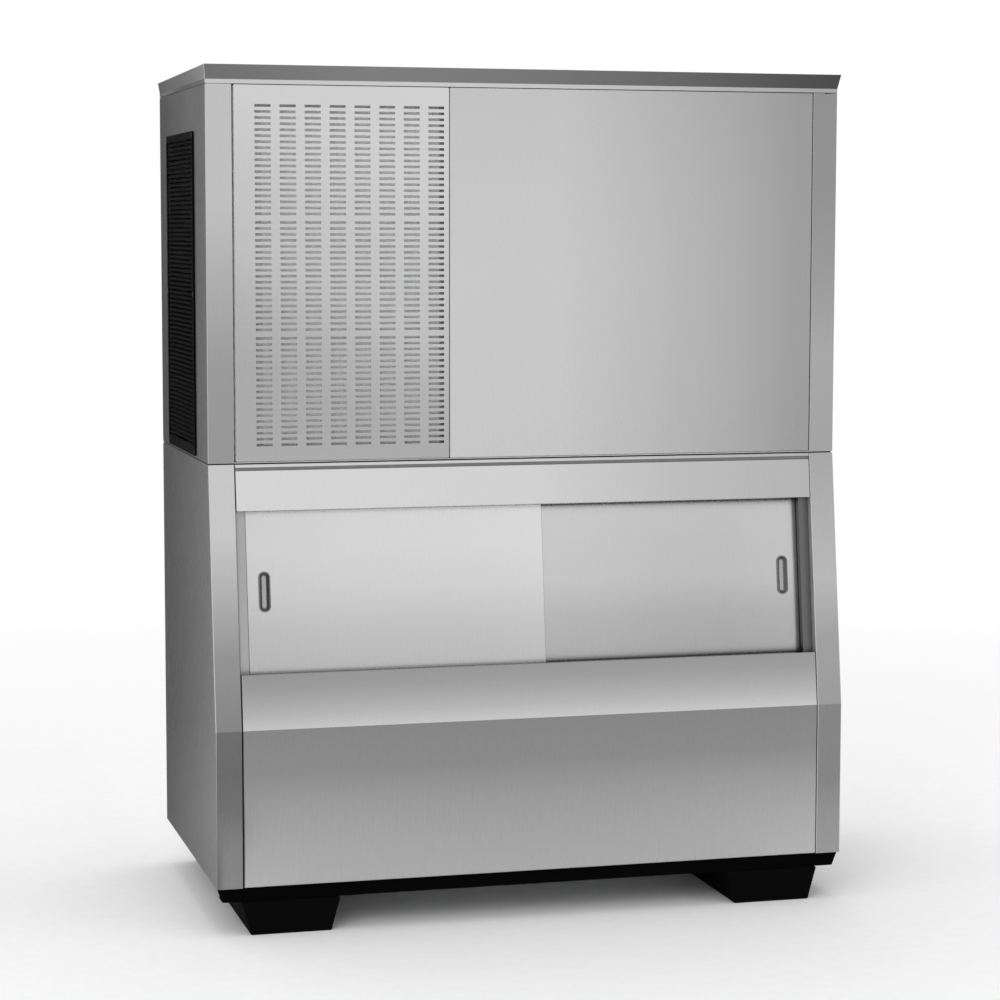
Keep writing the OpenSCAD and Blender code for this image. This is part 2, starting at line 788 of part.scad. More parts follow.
module skid_bolts() color(zinc) at_bolts() {
  translate([0, 0, bolt_seat_h - bolt_head_h]) cylinder(h = bolt_head_h, r = bolt_head_r, $fn = 6);
  translate([0, 0, bolt_seat_h - 1])
    cylinder(h = skid_h + bar_wall + bolt_d - bolt_seat_h + 3, r = bolt_d / 2);
  translate([0, 0, skid_h + bar_wall]) cylinder(h = 0.8 * bolt_d, r = bolt_head_r, $fn = 6);
}

// Bin

module bin_side() {
  across(plate_x, half_w) polygon([
    [y_back, z_bin], [y_knee, z_bin], [y_knee, z_knee], [y_face, z_seam], [y_back, z_seam]
  ]);
  front_band(inner_x, half_w, 0, sheet_t, z_bin, z_seam);
  front_band(inner_x, inner_x + sheet_t, 0, track_y1, z_bin, z_seam);
  span(max(inner_x, liner_x) + fit, half_w, y_face + sheet_t / 2, y_back, z_seam - sheet_t, z_seam);
}

module bin_side_right() color(steel) bin_side();

module bin_side_left() color(steel) mirror([1, 0, 0]) bin_side();

module bin_back_panel() color(zinc) {
  span(-plate_x, plate_x, y_back - sheet_t, y_back, z_bin, z_seam - sheet_t);
  flange_x = max(inner_x, liner_x);
  span(-flange_x, flange_x, liner_back + fit, y_back, z_seam - sheet_t, z_seam);
}

module bin_base_pan() color(zinc) {
  pan_y0 = y_knee + fold_d + fit;
  pan_y1 = y_back - sheet_t - fit;
  difference() {
    span(-inner_x, inner_x, pan_y0, pan_y1, z_bin, z_bin + sheet_t);
    rod_z(z_bin - 1, z_bin + 5, bin_drain_at.x, bin_drain_at.y, bin_drain_r + hole_play);
  }
  both_sides() {
    span(inner_x, plate_x, y_knee + track_y1 + fit, pan_y1, z_bin, z_bin + sheet_t);
    span(plate_x - sheet_t, plate_x, y_knee + track_y1 + fit, pan_y1, z_bin, z_bin + pan_flange_h);
  }
}

module bin_front_panel() color(steel) {
  sill_band(-panel_x, panel_x, 0, sheet_t, z_bin, sill_s);
  both_sides() sill_band(panel_x - sheet_t, panel_x, 0, fold_d, z_bin, sill_s);
  span(-panel_x, panel_x, y_knee, y_knee + fold_d, z_bin, z_bin + sheet_t);
  on_slope() span(-panel_x, panel_x, 0, fold_d, sill_s - sheet_t, sill_s);
}

module bin_fascia() color(steel) on_slope() {
  span(-panel_x, panel_x, 0, sheet_t, open_s, fascia_s1);
  span(-panel_x, panel_x, 0, fold_d, open_s, open_s + sheet_t);
  span(-panel_x, panel_x, 0, fold_d, fascia_s1 - sheet_t, fascia_s1);
  both_sides() span(panel_x - sheet_t, panel_x, 0, fold_d, open_s, fascia_s1);
}

// A folded sheet: flange on top, bright front, step back into the groove, lip down to the fascia
module bin_top_rail() color(steel) {
  step_z = z_seam - top_rail_h;
  lip_z = step_z - groove_h + fit;
  across(-panel_x, panel_x) polygon([
    slope_at_z(z_seam, 0), [liner_top_y() - fit, z_seam], [liner_top_y() - fit, z_seam - sheet_t],
    slope_at_z(z_seam - sheet_t, sheet_t), slope_at_z(step_z + sheet_t, sheet_t),
    slope_at_z(step_z + sheet_t, rail_step + sheet_t), slope_at_z(lip_z, rail_step + sheet_t),
    slope_at_z(lip_z, rail_step), slope_at_z(step_z, rail_step), slope_at_z(step_z, 0)
  ]);
}

// Front face of the liner where it ends at the seam
function liner_top_y() = slope_at_z(z_seam, liner_y).x;

// Solid block of the liner's outline, made smaller by inset on every side but the top
module liner_block(inset, top) {
  across(-liner_x + inset, liner_x - inset) polygon([
    [liner_back - inset, liner_z + inset], [y_knee + liner_y + inset, liner_z + inset],
    knee_at(liner_y + inset), slope_at_z(top, liner_y + inset), [liner_back - inset, top]
  ]);
}

module bin_liner() color(white) difference() {
  liner_block(0, z_seam);
  liner_block(liner_t, z_seam + 1);
  on_slope() span(-open_x, open_x, liner_y - 2, liner_y + liner_t + 2, sill_s, open_s);
  rod_z(liner_z - 1, liner_z + liner_t + 1, bin_drain_at.x, bin_drain_at.y, bin_drain_r + hole_play);
}

module bin_insulation() color([0.85, 0.8, 0.6]) {
  foam_top = z_seam - sheet_t - fit;
  foam_z = z_bin + sheet_t + fit;
  skin = sheet_t + fit;
  front_top = slope_at_s(track_low_s, track_y1 + fit).y - fit;
  difference() {
    across(-plate_x + skin, plate_x - skin) polygon([
      [y_back - skin, foam_z], [y_knee + skin, foam_z], knee_at(skin),
      slope_at_z(foam_top, skin), [y_back - skin, foam_top]
    ]);
    liner_block(-fit, z_seam);
    front_band(-inner_x - skin, inner_x + skin, 0, track_y1 + 2 * fit, z_bin, z_seam);
    rod_z(z_bin, liner_z + 1, bin_drain_at.x, bin_drain_at.y, bin_drain_r + hole_play);
  }
  front_band(-panel_x + skin, panel_x - skin, track_y, track_y1, foam_z, front_top);
  on_slope() span(-open_x + fit, open_x - fit, skin, fold_d - fit,
    open_s + skin, fascia_s1 - skin);
}

module bin_drain() color(black) difference() {
  at = bin_drain_at;
  top = liner_z + liner_t + drain_collar_t;
  union() {
    rod_z(z_bin - bin_drain_drop, top, at.x, at.y, bin_drain_r);
    rod_z(top - drain_collar_t, top, at.x, at.y, bin_drain_r + drain_collar_w);
    hex_nut([at.x, at.y, z_bin - drain_nut_h], drain_nut_h, bin_drain_r + drain_nut_w);
  }
  rod_z(z_bin - bin_drain_drop - 1, top + 1, at.x, at.y, bin_drain_bore_r);
}

module door_jambs() color(steel_dark) both_sides() {
  jamb_top = z_seam - sheet_t;
  across(open_x, inner_x - fit) polygon([
    slope_at_s(track_low_s, track_y), slope_at_z(jamb_top, track_y),
    slope_at_z(jamb_top, track_y1), slope_at_s(track_low_s, track_y1)
  ]);
}

// Three ribs of a track, from one distance up the slope to another
module track_ribs(s0, s1) {
  for (y = [track_y, door_a_y + door_t + door_play, track_y1 - track_rib_t])
    span(-open_x + fit, open_x - fit, y, y + track_rib_t, s0, s1);
}

module door_track_low() color(grey) on_slope() {
  span(-open_x + fit, open_x - fit, track_y, track_y1, track_low_s, track_low_s + track_floor_t);
  track_ribs(track_low_s, sill_s - sheet_t);
}

module door_track_high() color(grey) on_slope() {
  span(-open_x + fit, open_x - fit, track_y, track_y1, track_high_s - track_floor_t, track_high_s);
  track_ribs(open_s + sheet_t, track_high_s);
}

// Doors, drawn with their outer edge at X = 0 and running towards +X

module pull_outline(shrink) {
  translate([pull_inset, 0, (door_s0 + door_s1) / 2]) rotate([-90, 0, 0])
    linear_extrude(4 * track_y1, center = true) oblong(pull_l - 2 * shrink, pull_w - 2 * shrink);
}

module door_skin(y) difference() {
  span(0, door_w, y, y + door_t, door_s0, door_s1);
  span(door_skin_t, door_w - door_skin_t, y + door_skin_t, y + door_t + 1,
    door_s0 + door_skin_t, door_s1 - door_skin_t);
  pull_outline(pull_rim - hole_play);
}

module door_core(y) {
  edge = door_skin_t + fit;
  mid_y = y + door_t / 2;
  difference() {
    span(edge, door_w - edge, y + edge, y + door_t, door_s0 + edge, door_s1 - edge);
    pull_outline(pull_rim - hole_play);
  }
  for (x = [glide_inset, door_w - glide_inset - glide_l])
    span(x, x + glide_l, mid_y - glide_w / 2, mid_y + glide_w / 2, door_s0 - glide_h, door_s0);
}

module door_pull(y) difference() {
  union() {
    intersection() {
      pull_outline(0);
      span(0, pull_w * 4, y - pull_proud, y, door_s0, door_s1);
    }
    intersection() {
      pull_outline(pull_rim);
      span(0, pull_w * 4, y - pull_proud, y + pull_depth + 1, door_s0, door_s1);
    }
  }
  intersection() {
    pull_outline(pull_rim + 1);
    span(0, pull_w * 4, y - 5, y + pull_depth, door_s0, door_s1);
  }
}

// Places a door's drawing on the slope, the left one's outer edge at the left jamb
module left_door() on_slope() translate([-open_x + fit, 0, 0]) children();

module right_door() on_slope() translate([open_x - fit, 0, 0]) mirror([1, 0, 0]) children();

module door_left() color(steel) left_door() door_skin(door_a_y);

module door_left_core() color(white) left_door() door_core(door_a_y);

module door_left_pull() color(grey) left_door() door_pull(door_a_y);

module door_right() color(steel) right_door() door_skin(door_b_y);

module door_right_core() color(white) right_door() door_core(door_b_y);

module door_right_pull() color(grey) right_door() door_pull(door_b_y);

// Head

module seam_gaskets() color(black) {
  edge = half_w - gasket_inset;
  ring(-edge, edge, y_face + gasket_inset, y_back - gasket_inset, gasket_w, z_seam, z_head);
  top_w = angle_w - gasket_inset / 2;
  difference() {
    span(-half_w + 3, half_w - 3, frame_y, rear_y, z_head_top, z_cover);
    span(-half_w + top_w, half_w - top_w, frame_y + top_w, rear_y - top_w, z_head_top - 1, z_cover + 1);
  }
}

module head_base() color(zinc) {
  difference() {
    union() {
      span(-plate_x, plate_x, y_face + sheet_t, rear_y, z_head, frame_z0);
      span(drop_x0 - sheet_t, trough_x1 + sheet_t, drop_y0 - sheet_t, drop_y1 + sheet_t,
        z_head + sheet_t / 2, frame_z0 + drop_rim_h);
    }
    span(drop_x0, trough_x1, drop_y0, drop_y1, z_head - 1, frame_z0 + drop_rim_h + 1);
  }
  difference() {
    both_sides()
      span(plate_x - sheet_t, plate_x, frame_y1 + fit, rear_y - sheet_t - angle_w - fit,
        z_head, z_head + base_flange_h);
    at_grille_screws() rod_x(-half_w, -inner_x, 0, 0, screw_r + hole_play);
  }
}

module head_frame() color(zinc) {
  post_h = frame_z1 - frame_z0;
  both_sides() {
    translate([plate_x, frame_y, frame_z0]) angle_z(post_h, -1, 1);
    translate([plate_x, rear_y - sheet_t, frame_z0]) angle_z(post_h, -1, -1);
    span(plate_x - angle_w, plate_x, frame_y, rear_y - sheet_t, frame_z1 - angle_t, frame_z1);
    span(plate_x - angle_t, plate_x, frame_y, rear_y - sheet_t, frame_z1 - angle_w, frame_z1);
  }
  translate([divider_x, frame_y, frame_z0]) angle_z(post_h, -1, 1);
  for (z = [frame_z0, frame_z1 - angle_w])
    span(-plate_x, plate_x, frame_y, frame_y + angle_t, z, z + angle_w);
  span(-plate_x, plate_x, frame_y, frame_y1, frame_z0, frame_z0 + angle_t);
  span(-plate_x, plate_x, frame_y, frame_y1, frame_z1 - angle_t, frame_z1);
  span(-plate_x, plate_x, rear_y - sheet_t - angle_t, rear_y - sheet_t,
    frame_z1 - angle_w, frame_z1);
}

module head_side() {
  span(plate_x, half_w, y_face, y_back, z_head, z_head_top);
  span(inner_x, half_w, y_face, y_face + sheet_t, z_head, z_head_top);
  span(inner_x, inner_x + sheet_t, y_face, y_face + tray_d, panel_z, z_head_top);
  span(plate_x - angle_w, half_w, frame_y, y_back, z_head_top - sheet_t, z_head_top);
}

module head_side_right() color(steel) head_side();

module head_side_left() color(steel) difference() {
  mirror([1, 0, 0]) head_side();
  span(-half_w - 1, -plate_x + 1, grille_y0 + grille_frame, grille_y0 + grille_w - grille_frame,
    grille_z0 + grille_frame, grille_z0 + grille_h - grille_frame);
  at_grille_screws() rod_x(-half_w - 1, -plate_x + 1, 0, 0, screw_r + running);
}

module head_rear_panel() color(zinc) difference() {
  span(-plate_x, plate_x, rear_y - sheet_t, rear_y, frame_z0, frame_z1);
  rod_y(rear_y - 5, rear_y + 5, inlet_at.x, inlet_at.y, inlet_r + hole_play);
  rod_y(rear_y - 5, rear_y + 5, outlet_at.x, outlet_at.y, drain_r + hole_play);
  rod_y(rear_y - 5, rear_y + 5, gland_at.x, gland_at.y, gland_bore_r + 3 + hole_play);
}

// A front panel with its four edges folded back
module front_tray(x0, x1) difference() {
  span(x0, x1, y_face, y_face + tray_d, panel_z, z_head_top);
  span(x0 + sheet_t, x1 - sheet_t, y_face + sheet_t, y_face + tray_d + 1,
    panel_z + sheet_t, z_head_top - sheet_t);
}

module vent_slots() {
  group_h = (slot_group - 1) * slot_row_pitch + slot_group_pitch;
  for (c = [0 : slot_cols - 1], g = [0 : slot_groups - 1], r = [0 : slot_group - 1])
    translate([
      vent_x0 + slot_left + c * slot_col_pitch - slot_w / 2,
      z_head_top - slot_top - g * group_h - r * slot_row_pitch - slot_h / 2
    ]) square([slot_w, slot_h]);
}

module vent_panel() color(steel) {
  // The slotted field, inside the plain border
  x0 = vent_x0 + slot_left - slot_w;
  x1 = vent_x1 - slot_right / 2;
  z0 = panel_z + slot_bottom / 2;
  z1 = z_head_top - slot_top / 2;
  difference() {
    front_tray(vent_x0, vent_x1);
    span(x0, x1, y_face - 1, y_face + sheet_t + 1, z0, z1);
  }
  inwards(y_face, y_face + sheet_t) difference() {
    translate([x0, z0]) square([x1 - x0, z1 - z0]);
    vent_slots();
  }
}

module front_panel() color(steel) front_tray(vent_x1 + seam_w, panel_x);

// Solid outline of the cover: upright lip, then a flare at the front and the sides
module cover_block(inset, top) intersection() {
  across(-cabinet_w, cabinet_w) polygon([
    [y_face + inset, z_cover - (inset > 0 ? 1 : 0)], [y_face + inset, z_flare],
    [y_face + inset - flare_front, z_top - top], [y_back - inset, z_top - top],
    [y_back - inset, z_cover - (inset > 0 ? 1 : 0)]
  ]);
  inwards(-cabinet_w, cabinet_w) for (side = [-1, 1]) polygon([
    [0, z_cover - 1], [side * (half_w - inset), z_cover - 1], [side * (half_w - inset), z_flare],
    [side * (half_w - inset + flare_side), z_top - top], [0, z_top - top]
  ]);
}

module top_cover() color(steel_dark) {
  difference() {
    cover_block(0, 0);
    cover_block(sheet_t, sheet_t);
  }
  difference() {
    span(-half_w + sheet_t / 2, half_w - sheet_t / 2, y_face + sheet_t / 2, y_back - sheet_t / 2,
      z_cover, z_cover + sheet_t);
    span(-half_w + angle_w, half_w - angle_w, frame_y + angle_w, rear_y - angle_w,
      z_cover - 1, z_cover + 5);
  }
}

module at_grille_screws() {
  inset = grille_frame / 2;
  for (y = [grille_y0 + inset, grille_y0 + grille_w - inset],
      z = [grille_z0 + inset, grille_z0 + grille_h / 2, grille_z0 + grille_h - inset])
    translate([0, y, z]) children();
}

module side_grille() color(black) {
  x0 = -half_w - grille_proud;
  open_z0 = grille_z0 + grille_frame;
  open_h = grille_h - 2 * grille_frame;
  louvres = floor((open_h - louvre_t) / louvre_pitch);
  louvre_z = open_z0 + (open_h - (louvres - 1) * louvre_pitch) / 2;
  difference() {
    span(x0, -half_w, grille_y0, grille_y0 + grille_w, grille_z0, grille_z0 + grille_h);
    span(x0 - 1, -half_w + 1, grille_y0 + grille_frame, grille_y0 + grille_w - grille_frame,
      open_z0, open_z0 + open_h);
    at_grille_screws() rod_x(x0 - 1, -half_w + 1, 0, 0, screw_r + running);
  }
  inwards(grille_y0 + grille_frame - 1, grille_y0 + grille_w - grille_frame + 1)
    for (i = [0 : louvres - 1]) translate([x0 + 0.5, louvre_z + i * louvre_pitch]) polygon([
      [0, -louvre_t], [louvre_t / 4, -louvre_t], [grille_proud - 0.5, louvre_t * 0.6],
      [grille_proud - 0.5, louvre_t * 1.6], [0, 0]
    ]);
}

module grille_screws() color(black) at_grille_screws() {
  rod_x(-half_w - grille_proud - screw_head_h, -half_w - grille_proud, 0, 0, screw_head_r);
  rod_x(-half_w - grille_proud - screw_head_h / 2, -plate_x + 6, 0, 0, screw_r);
}

module air_filter() color(black) {
  x0 = -plate_x + angle_w;
  x1 = divider_x - angle_t - 2;
  z0 = frame_z0 + angle_t;
  z1 = frame_z1 - angle_t - fit;
  cols = 6;
  rows = 10;
  frame = 12;
  bar = 3;
  cell_w = (x1 - x0 - 2 * frame) / cols;
  cell_h = (z1 - z0 - 2 * frame) / rows;
  inwards(frame_y + angle_t + fit, frame_y + angle_t + 9) difference() {
    translate([x0, z0]) square([x1 - x0, z1 - z0]);
    for (c = [0 : cols - 1], r = [0 : rows - 1])
      translate([x0 + frame + c * cell_w + bar / 2, z0 + frame + r * cell_h + bar / 2])
        square([cell_w - bar, cell_h - bar]);
  }
}

module divider_wall() color(zinc) difference() {
  span(divider_x, divider_x + sheet_t, frame_y1 + fit, rear_y - sheet_t - angle_t - fit,
    frame_z0, frame_z1 - angle_w - fit);
  for (z = [liquid_z, suction_z])
    rod_x(divider_x - 1, divider_x + 5, line_y, z, tube_r + 4);
}

// Refrigeration

module condenser() color(zinc) {
  core_y = (coil_y0 + coil_y1) / 2;
  bend_r = coil_row_pitch / 2;
  fins = floor((coil_w - 4 * coil_plate_t) / fin_pitch);
  translate([0, 0, coil_z0]) linear_extrude(coil_h) {
    translate([coil_x0, core_y - coil_d / 6]) square([coil_w, coil_d / 3]);
    for (i = [0 : fins]) translate([coil_x0 + coil_plate_t + i * fin_pitch, coil_y0])
      square([fin_t, coil_d]);
  }
  for (x = [coil_x0 - coil_plate_t, coil_x1])
    span(x, x + coil_plate_t, coil_y0 - 2 * coil_plate_t, coil_y1, frame_z0, coil_z0 + coil_h);
  // Bends on the left join rows 0 and 1, 2 and 3; on the right 1 and 2, 3 and 4
  for (i = [1 : coil_rows]) {
    left = i % 2 == 1;
    x = left ? coil_x0 - coil_plate_t / 2 : coil_x1 + coil_plate_t / 2;
    translate([x, core_y, coil_tube_z + (i - 0.5) * coil_row_pitch]) rotate([90, 0, 0])
      rotate(left ? 90 : -90) rotate_extrude(angle = 180) translate([bend_r, 0]) circle(r = tube_r);
  }
}

module fan_shroud() color(black) {
  y0 = coil_y1;
  arm_y = y0 + shroud_d - arm_t / 2;
  socket_y = arm_y - socket_lip;
  ring_r = fan_r + fan_gap;
  arm_l = 2 * ring_r + shroud_wall;
  difference() {
    union() {
      span(coil_x0, coil_x1, y0, y0 + 2, frame_z0, coil_z0 + coil_h);
      rod_y(y0, y0 + shroud_d, fan_x, fan_z, ring_r + shroud_wall);
    }
    rod_y(y0 - 1, y0 + shroud_d + 1, fan_x, fan_z, ring_r);
  }
  // Cross arms and the socket of the motor
  difference() {
    union() {
      for (turn = [-45, 45]) translate([fan_x, 0, fan_z]) rotate([0, turn, 0])
        span(-arm_l / 2, arm_l / 2, arm_y, arm_y + arm_t, -arm_w / 2, arm_w / 2);
      rod_y(socket_y, fan_motor_y, fan_x, fan_z, spigot_r + socket_wall);
    }
    rod_y(socket_y - 1, fan_motor_y + 1, fan_x, fan_z, spigot_r);
  }
}

module fan_motor() color(grey) difference() {
  union() {
    rod_y(fan_motor_y, motor_y1, fan_x, fan_z, fan_motor_r);
    rod_y(fan_motor_y - spigot_l, fan_motor_y, fan_x, fan_z, spigot_r - fit);
  }
  rod_y(fan_motor_y - spigot_l - 1, motor_y1 - motor_end_t, fan_x, fan_z, fan_shaft_r + running);
}

module fan_blade() color(black) {
  rod_y(fan_y - hub_l / 2, motor_y1 - motor_end_t - shaft_end_gap, fan_x, fan_z, fan_shaft_r);
  rod_y(fan_y - hub_l / 2, fan_y + hub_l / 2, fan_x, fan_z, hub_r);
  for (i = [0 : fan_blades - 1]) translate([fan_x, fan_y, fan_z])
    rotate([0, i * 360 / fan_blades, 0]) rotate([blade_tilt, 0, 0])
      rotate([90, 0, 0]) linear_extrude(blade_t, center = true) blade_outline();
}

// One blade, seen square on: narrow at the hub, wide and round at the tip
module blade_outline() {
  root = [0.7 * hub_r, 0.42 * hub_r];
  polygon(concat(
    [[root.x, -root.y]],
    [for (i = [0 : 11]) let (a = blade_span * (i / 11 - 0.5)) fan_r * [cos(a), sin(a)]],
    [root]
  ));
}

module compressor() color(black) difference() {
  r = compressor_r;
  h = compressor_h;
  union() {
    translate([compressor_at.x, compressor_at.y, shell_z]) {
      rotate_extrude() polygon([
        [0, 0], [0.72 * r, 0], [0.93 * r, 14], [r, 34], [r, h - 46], [0.96 * r, h - 30],
        [0.84 * r, h - 14], [0.6 * r, h - 4], [0, h]
      ]);
      translate([0, 0, h / 2 - 5]) cylinder(h = 10, r = r + 4);
      translate([r - 12, -26, h / 2 + 14]) cube([34, 52, 60]);
    }
    translate([compressor_at.x - 0.95 * r, compressor_at.y - 0.95 * r, shell_z - foot_t])
      cube([1.9 * r, 1.9 * r, foot_t + 0.5]);
  }
  at_compressor_mounts() translate([0, 0, shell_z - 10]) cylinder(h = 20, r = 6 + hole_play);
  translate([compressor_at.x, compressor_at.y, shell_z]) {
    translate([0, 0, 24]) cylinder(h = h - 84, r = r - compressor_wall);
    translate([0, 0, -10]) cylinder(h = 40, r = 8);
  }
}

// How far the shell's dome lies below its top at a distance from its axis
function dome_drop(d) = let (r = compressor_r)
  d < 0.6 * r ? 4 * d / (0.6 * r) : 4 + 10 * (d - 0.6 * r) / (0.24 * r);

module at_compressor_mounts() {
  off = 0.82 * compressor_r;
  for (x = [-off, off], y = [-off, off])
    translate([compressor_at.x + x, compressor_at.y + y, 0]) children();
}

module compressor_mounts() color(grey) at_compressor_mounts() {
  translate([0, 0, frame_z0]) cylinder(h = mount_h + 1, r = 12);
  translate([0, 0, frame_z0 + 1]) cylinder(h = mount_h + 12, r = 6);
  translate([0, 0, shell_z + 0.5]) cylinder(h = 5, r = 10, $fn = 6);
}

module filter_drier() color(copper) translate([drier_at.x, drier_at.y, drier_z])
  rotate_extrude() polygon([
    [0, 0], [tube_r + 1, 0], [tube_r + 1, 8], [drier_r, 22], [drier_r, drier_l - 22],
    [tube_r + 1, drier_l - 8], [tube_r + 1, drier_l], [0, drier_l]
  ]);

module hot_gas_valve() color(grey) {
  at = hot_gas_at;
  translate(at) {
    span(-12, 12, -14, 14, -10, 10);
    cylinder(h = 22, r = 8);
    translate([0, 0, 18]) cylinder(h = 36, r = 18);
    translate([0, 0, 50]) cylinder(h = 8, r = 6, $fn = 6);
  }
  span(at.x + 10, divider_x, at.y - 10, at.y + 10, at.z - 8, at.z + 8);
}

module refrigerant_pipes() color(copper) {
  core_y = (coil_y0 + coil_y1) / 2;
  run_y = coil_y1 + 15;
  header_x = coil_x1 + coil_plate_t;
  top_z = shell_z + compressor_h;
  gas_z = hot_gas_at.z;
  low_z = coil_tube_z;
  high_z = coil_tube_z + coil_rows * coil_row_pitch;
  port_x = 0.4 * compressor_r;
  shell_x = compressor_at.x + port_x;
  gas_end = top_z - dome_drop(port_x - tube_r) + fit;
  back_end = top_z - dome_drop(norm([port_x, line_y - compressor_at.y]) - tube_r - 1) + fit;
  suction_x = divider_x - 40;
  // Hot gas from the compressor to the top of the condenser
  route([
    [shell_x, compressor_at.y, gas_end], [shell_x, compressor_at.y, gas_z],
    [pipe_x, compressor_at.y, gas_z], [pipe_x, run_y, gas_z], [pipe_x, run_y, high_z],
    [pipe_x, core_y, high_z], [header_x, core_y, high_z]
  ], tube_r);
  // Hot gas to its valve, and on to the evaporators' liquid line
  route([[pipe_x, compressor_at.y, gas_z], [pipe_x, hot_gas_at.y - 14, gas_z]], tube_r);
  route([
    [hot_gas_at.x, hot_gas_at.y, gas_z - 10], [hot_gas_at.x, hot_gas_at.y, liquid_z],
    [hot_gas_at.x, line_y, liquid_z]
  ], tube_r);
  // Liquid from the foot of the condenser to the drier
  route([
    [header_x, core_y, low_z], [pipe_x, core_y, low_z], [pipe_x, run_y, low_z],
    [pipe_x, run_y, low_z - 40], [pipe_x, drier_at.y, low_z - 40],
    [drier_at.x, drier_at.y, low_z - 40], [drier_at.x, drier_at.y, drier_z]
  ], tube_r);
  // Liquid from the drier to the evaporators
  route([
    [drier_at.x, drier_at.y, drier_z + drier_l], [drier_at.x, drier_at.y, liquid_z],
    [drier_at.x, line_y, liquid_z], [evap_x2 - stub_x, line_y, liquid_z]
  ], tube_r);
  for (x = evap_xs) route([[x - stub_x, line_y, liquid_z], [x - stub_x, stub_y, liquid_z]], tube_r - 0.5);
  // Vapour from the evaporators back to the compressor
  route([
    [evap_x2 + stub_x, line_y, suction_z], [suction_x, line_y, suction_z],
    [suction_x, line_y, box_z0 - 40], [compressor_at.x - port_x, line_y, box_z0 - 40],
    [compressor_at.x - port_x, line_y, back_end]
  ], tube_r + 1);
  for (x = evap_xs) route([[x + stub_x, line_y, suction_z], [x + stub_x, stub_y, suction_z]], tube_r);
}

// Control box

module control_box() color(zinc) difference() {
  span(box_x0, divider_x, box_y0, box_y1, box_z0, box_z1);
  span(box_x0 + sheet_t, divider_x - sheet_t, box_y0 - 1, box_y1 - sheet_t,
    box_z0 + sheet_t, box_z1 - sheet_t);
}

module control_box_cover() color(zinc) difference() {
  union() {
    span(box_x0, divider_x, box_y0 - sheet_t, box_y0, box_z0, box_z1);
    for (x = [rocker_at.x - rocker_w / 2 - cheek_t, rocker_at.x + rocker_w / 2 + fit])
      span(x, x + cheek_t - fit, box_y0 - sheet_t / 2, rocker_at.y + 6, rocker_at.z - 8, rocker_at.z + 8);
  }
  span(rocker_at.x - rocker_w / 2 - fit, rocker_at.x + rocker_w / 2 + fit, box_y0 - 5, box_y0 + 1,
    rocker_at.z - rocker_r - 0.5, rocker_at.z + rocker_r + 0.5);
  rod_x(rocker_at.x - rocker_w / 2 - cheek_t - 1, rocker_at.x + rocker_w / 2 + cheek_t + 1,
    rocker_at.y, rocker_at.z, rocker_pin_r + running);
}

module power_switch() color(black) {
  rod_x(rocker_at.x - rocker_w / 2 - cheek_t + 1, rocker_at.x + rocker_w / 2 + cheek_t - 1,
    rocker_at.y, rocker_at.z, rocker_pin_r);
  difference() {
    rod_x(rocker_at.x - rocker_w / 2, rocker_at.x + rocker_w / 2, rocker_at.y, rocker_at.z, rocker_r);
    // Two flats that meet over the pivot, tilted by the rest position
    for (tilt = [-10, 30]) translate(rocker_at) rotate([tilt, 0, 0])
      span(-rocker_w, rocker_w, -3 * rocker_r, -0.78 * rocker_r, -2 * rocker_r, 2 * rocker_r);
  }
}

// Ice making

module evaporator_bulkhead() color(white) {
  difference() {
    span(divider_x + sheet_t, plate_x - sheet_t - fit, bulkhead_y, bulkhead_y1,
      frame_z0, bulkhead_z1);
    for (x = evap_xs) {
      rod_y(bulkhead_y - 1, bulkhead_y1 + 1, x - stub_x, liquid_z, tube_r + hole_play);
      rod_y(bulkhead_y - 1, bulkhead_y1 + 1, x + stub_x, suction_z, tube_r + hole_play);
    }
    rod_y(bulkhead_y - 1, bulkhead_y1 + 1, valve_at.x, valve_at.z, 4 + hole_play);
    rod_y(bulkhead_y - 1, bulkhead_y1 + 1, outlet_at.x, outlet_at.y, drain_pipe_r + hole_play);
  }
  for (x = evap_xs, sx = [-1, 1], z = [evap_z0 + 12, evap_z1 - 12])
    rod_y(evap_back, bulkhead_y + 1, x + sx * (evaporator_w / 2 - 12), z, 7);
  for (x = evap_xs, sx = [-1, 1]) curtain_bracket(x, sx);
}

// A bracket beside an evaporator, with the bores of a curtain pin and the distributor
module curtain_bracket(x, sx) {
  x0 = sx > 0 ? x + bracket_off : x - bracket_off - bracket_t;
  difference() {
    span(x0, x0 + bracket_t, pivot_y - 12, bulkhead_y + 1, evap_z1 - 6, pivot_z + bracket_top);
    rod_x(x0 - 1, x0 + bracket_t + 1, pivot_y, pivot_z, pin_r + running);
    rod_x(x0 - 1, x0 + bracket_t + 1, distributor_y, distributor_z, hose_r + hole_play);
  }
}

module evaporators() color(zinc) for (x = evap_xs) {
  inwards(evap_y, evap_y + cell_d) difference() {
    translate([x - evaporator_w / 2, evap_z0]) square([evaporator_w, evaporator_h]);
    for (c = [0 : cell_cols - 1], r = [0 : cell_rows - 1])
      translate([x - evaporator_w / 2 + c * cell_pitch + cell_wall / 2,
        evap_z0 + r * cell_pitch + cell_wall / 2])
        square([cell_pitch - cell_wall, cell_pitch - cell_wall]);
  }
  span(x - evaporator_w / 2, x + evaporator_w / 2, evap_y + cell_d, evap_back, evap_z0, evap_z1);
  serpentine(x);
}

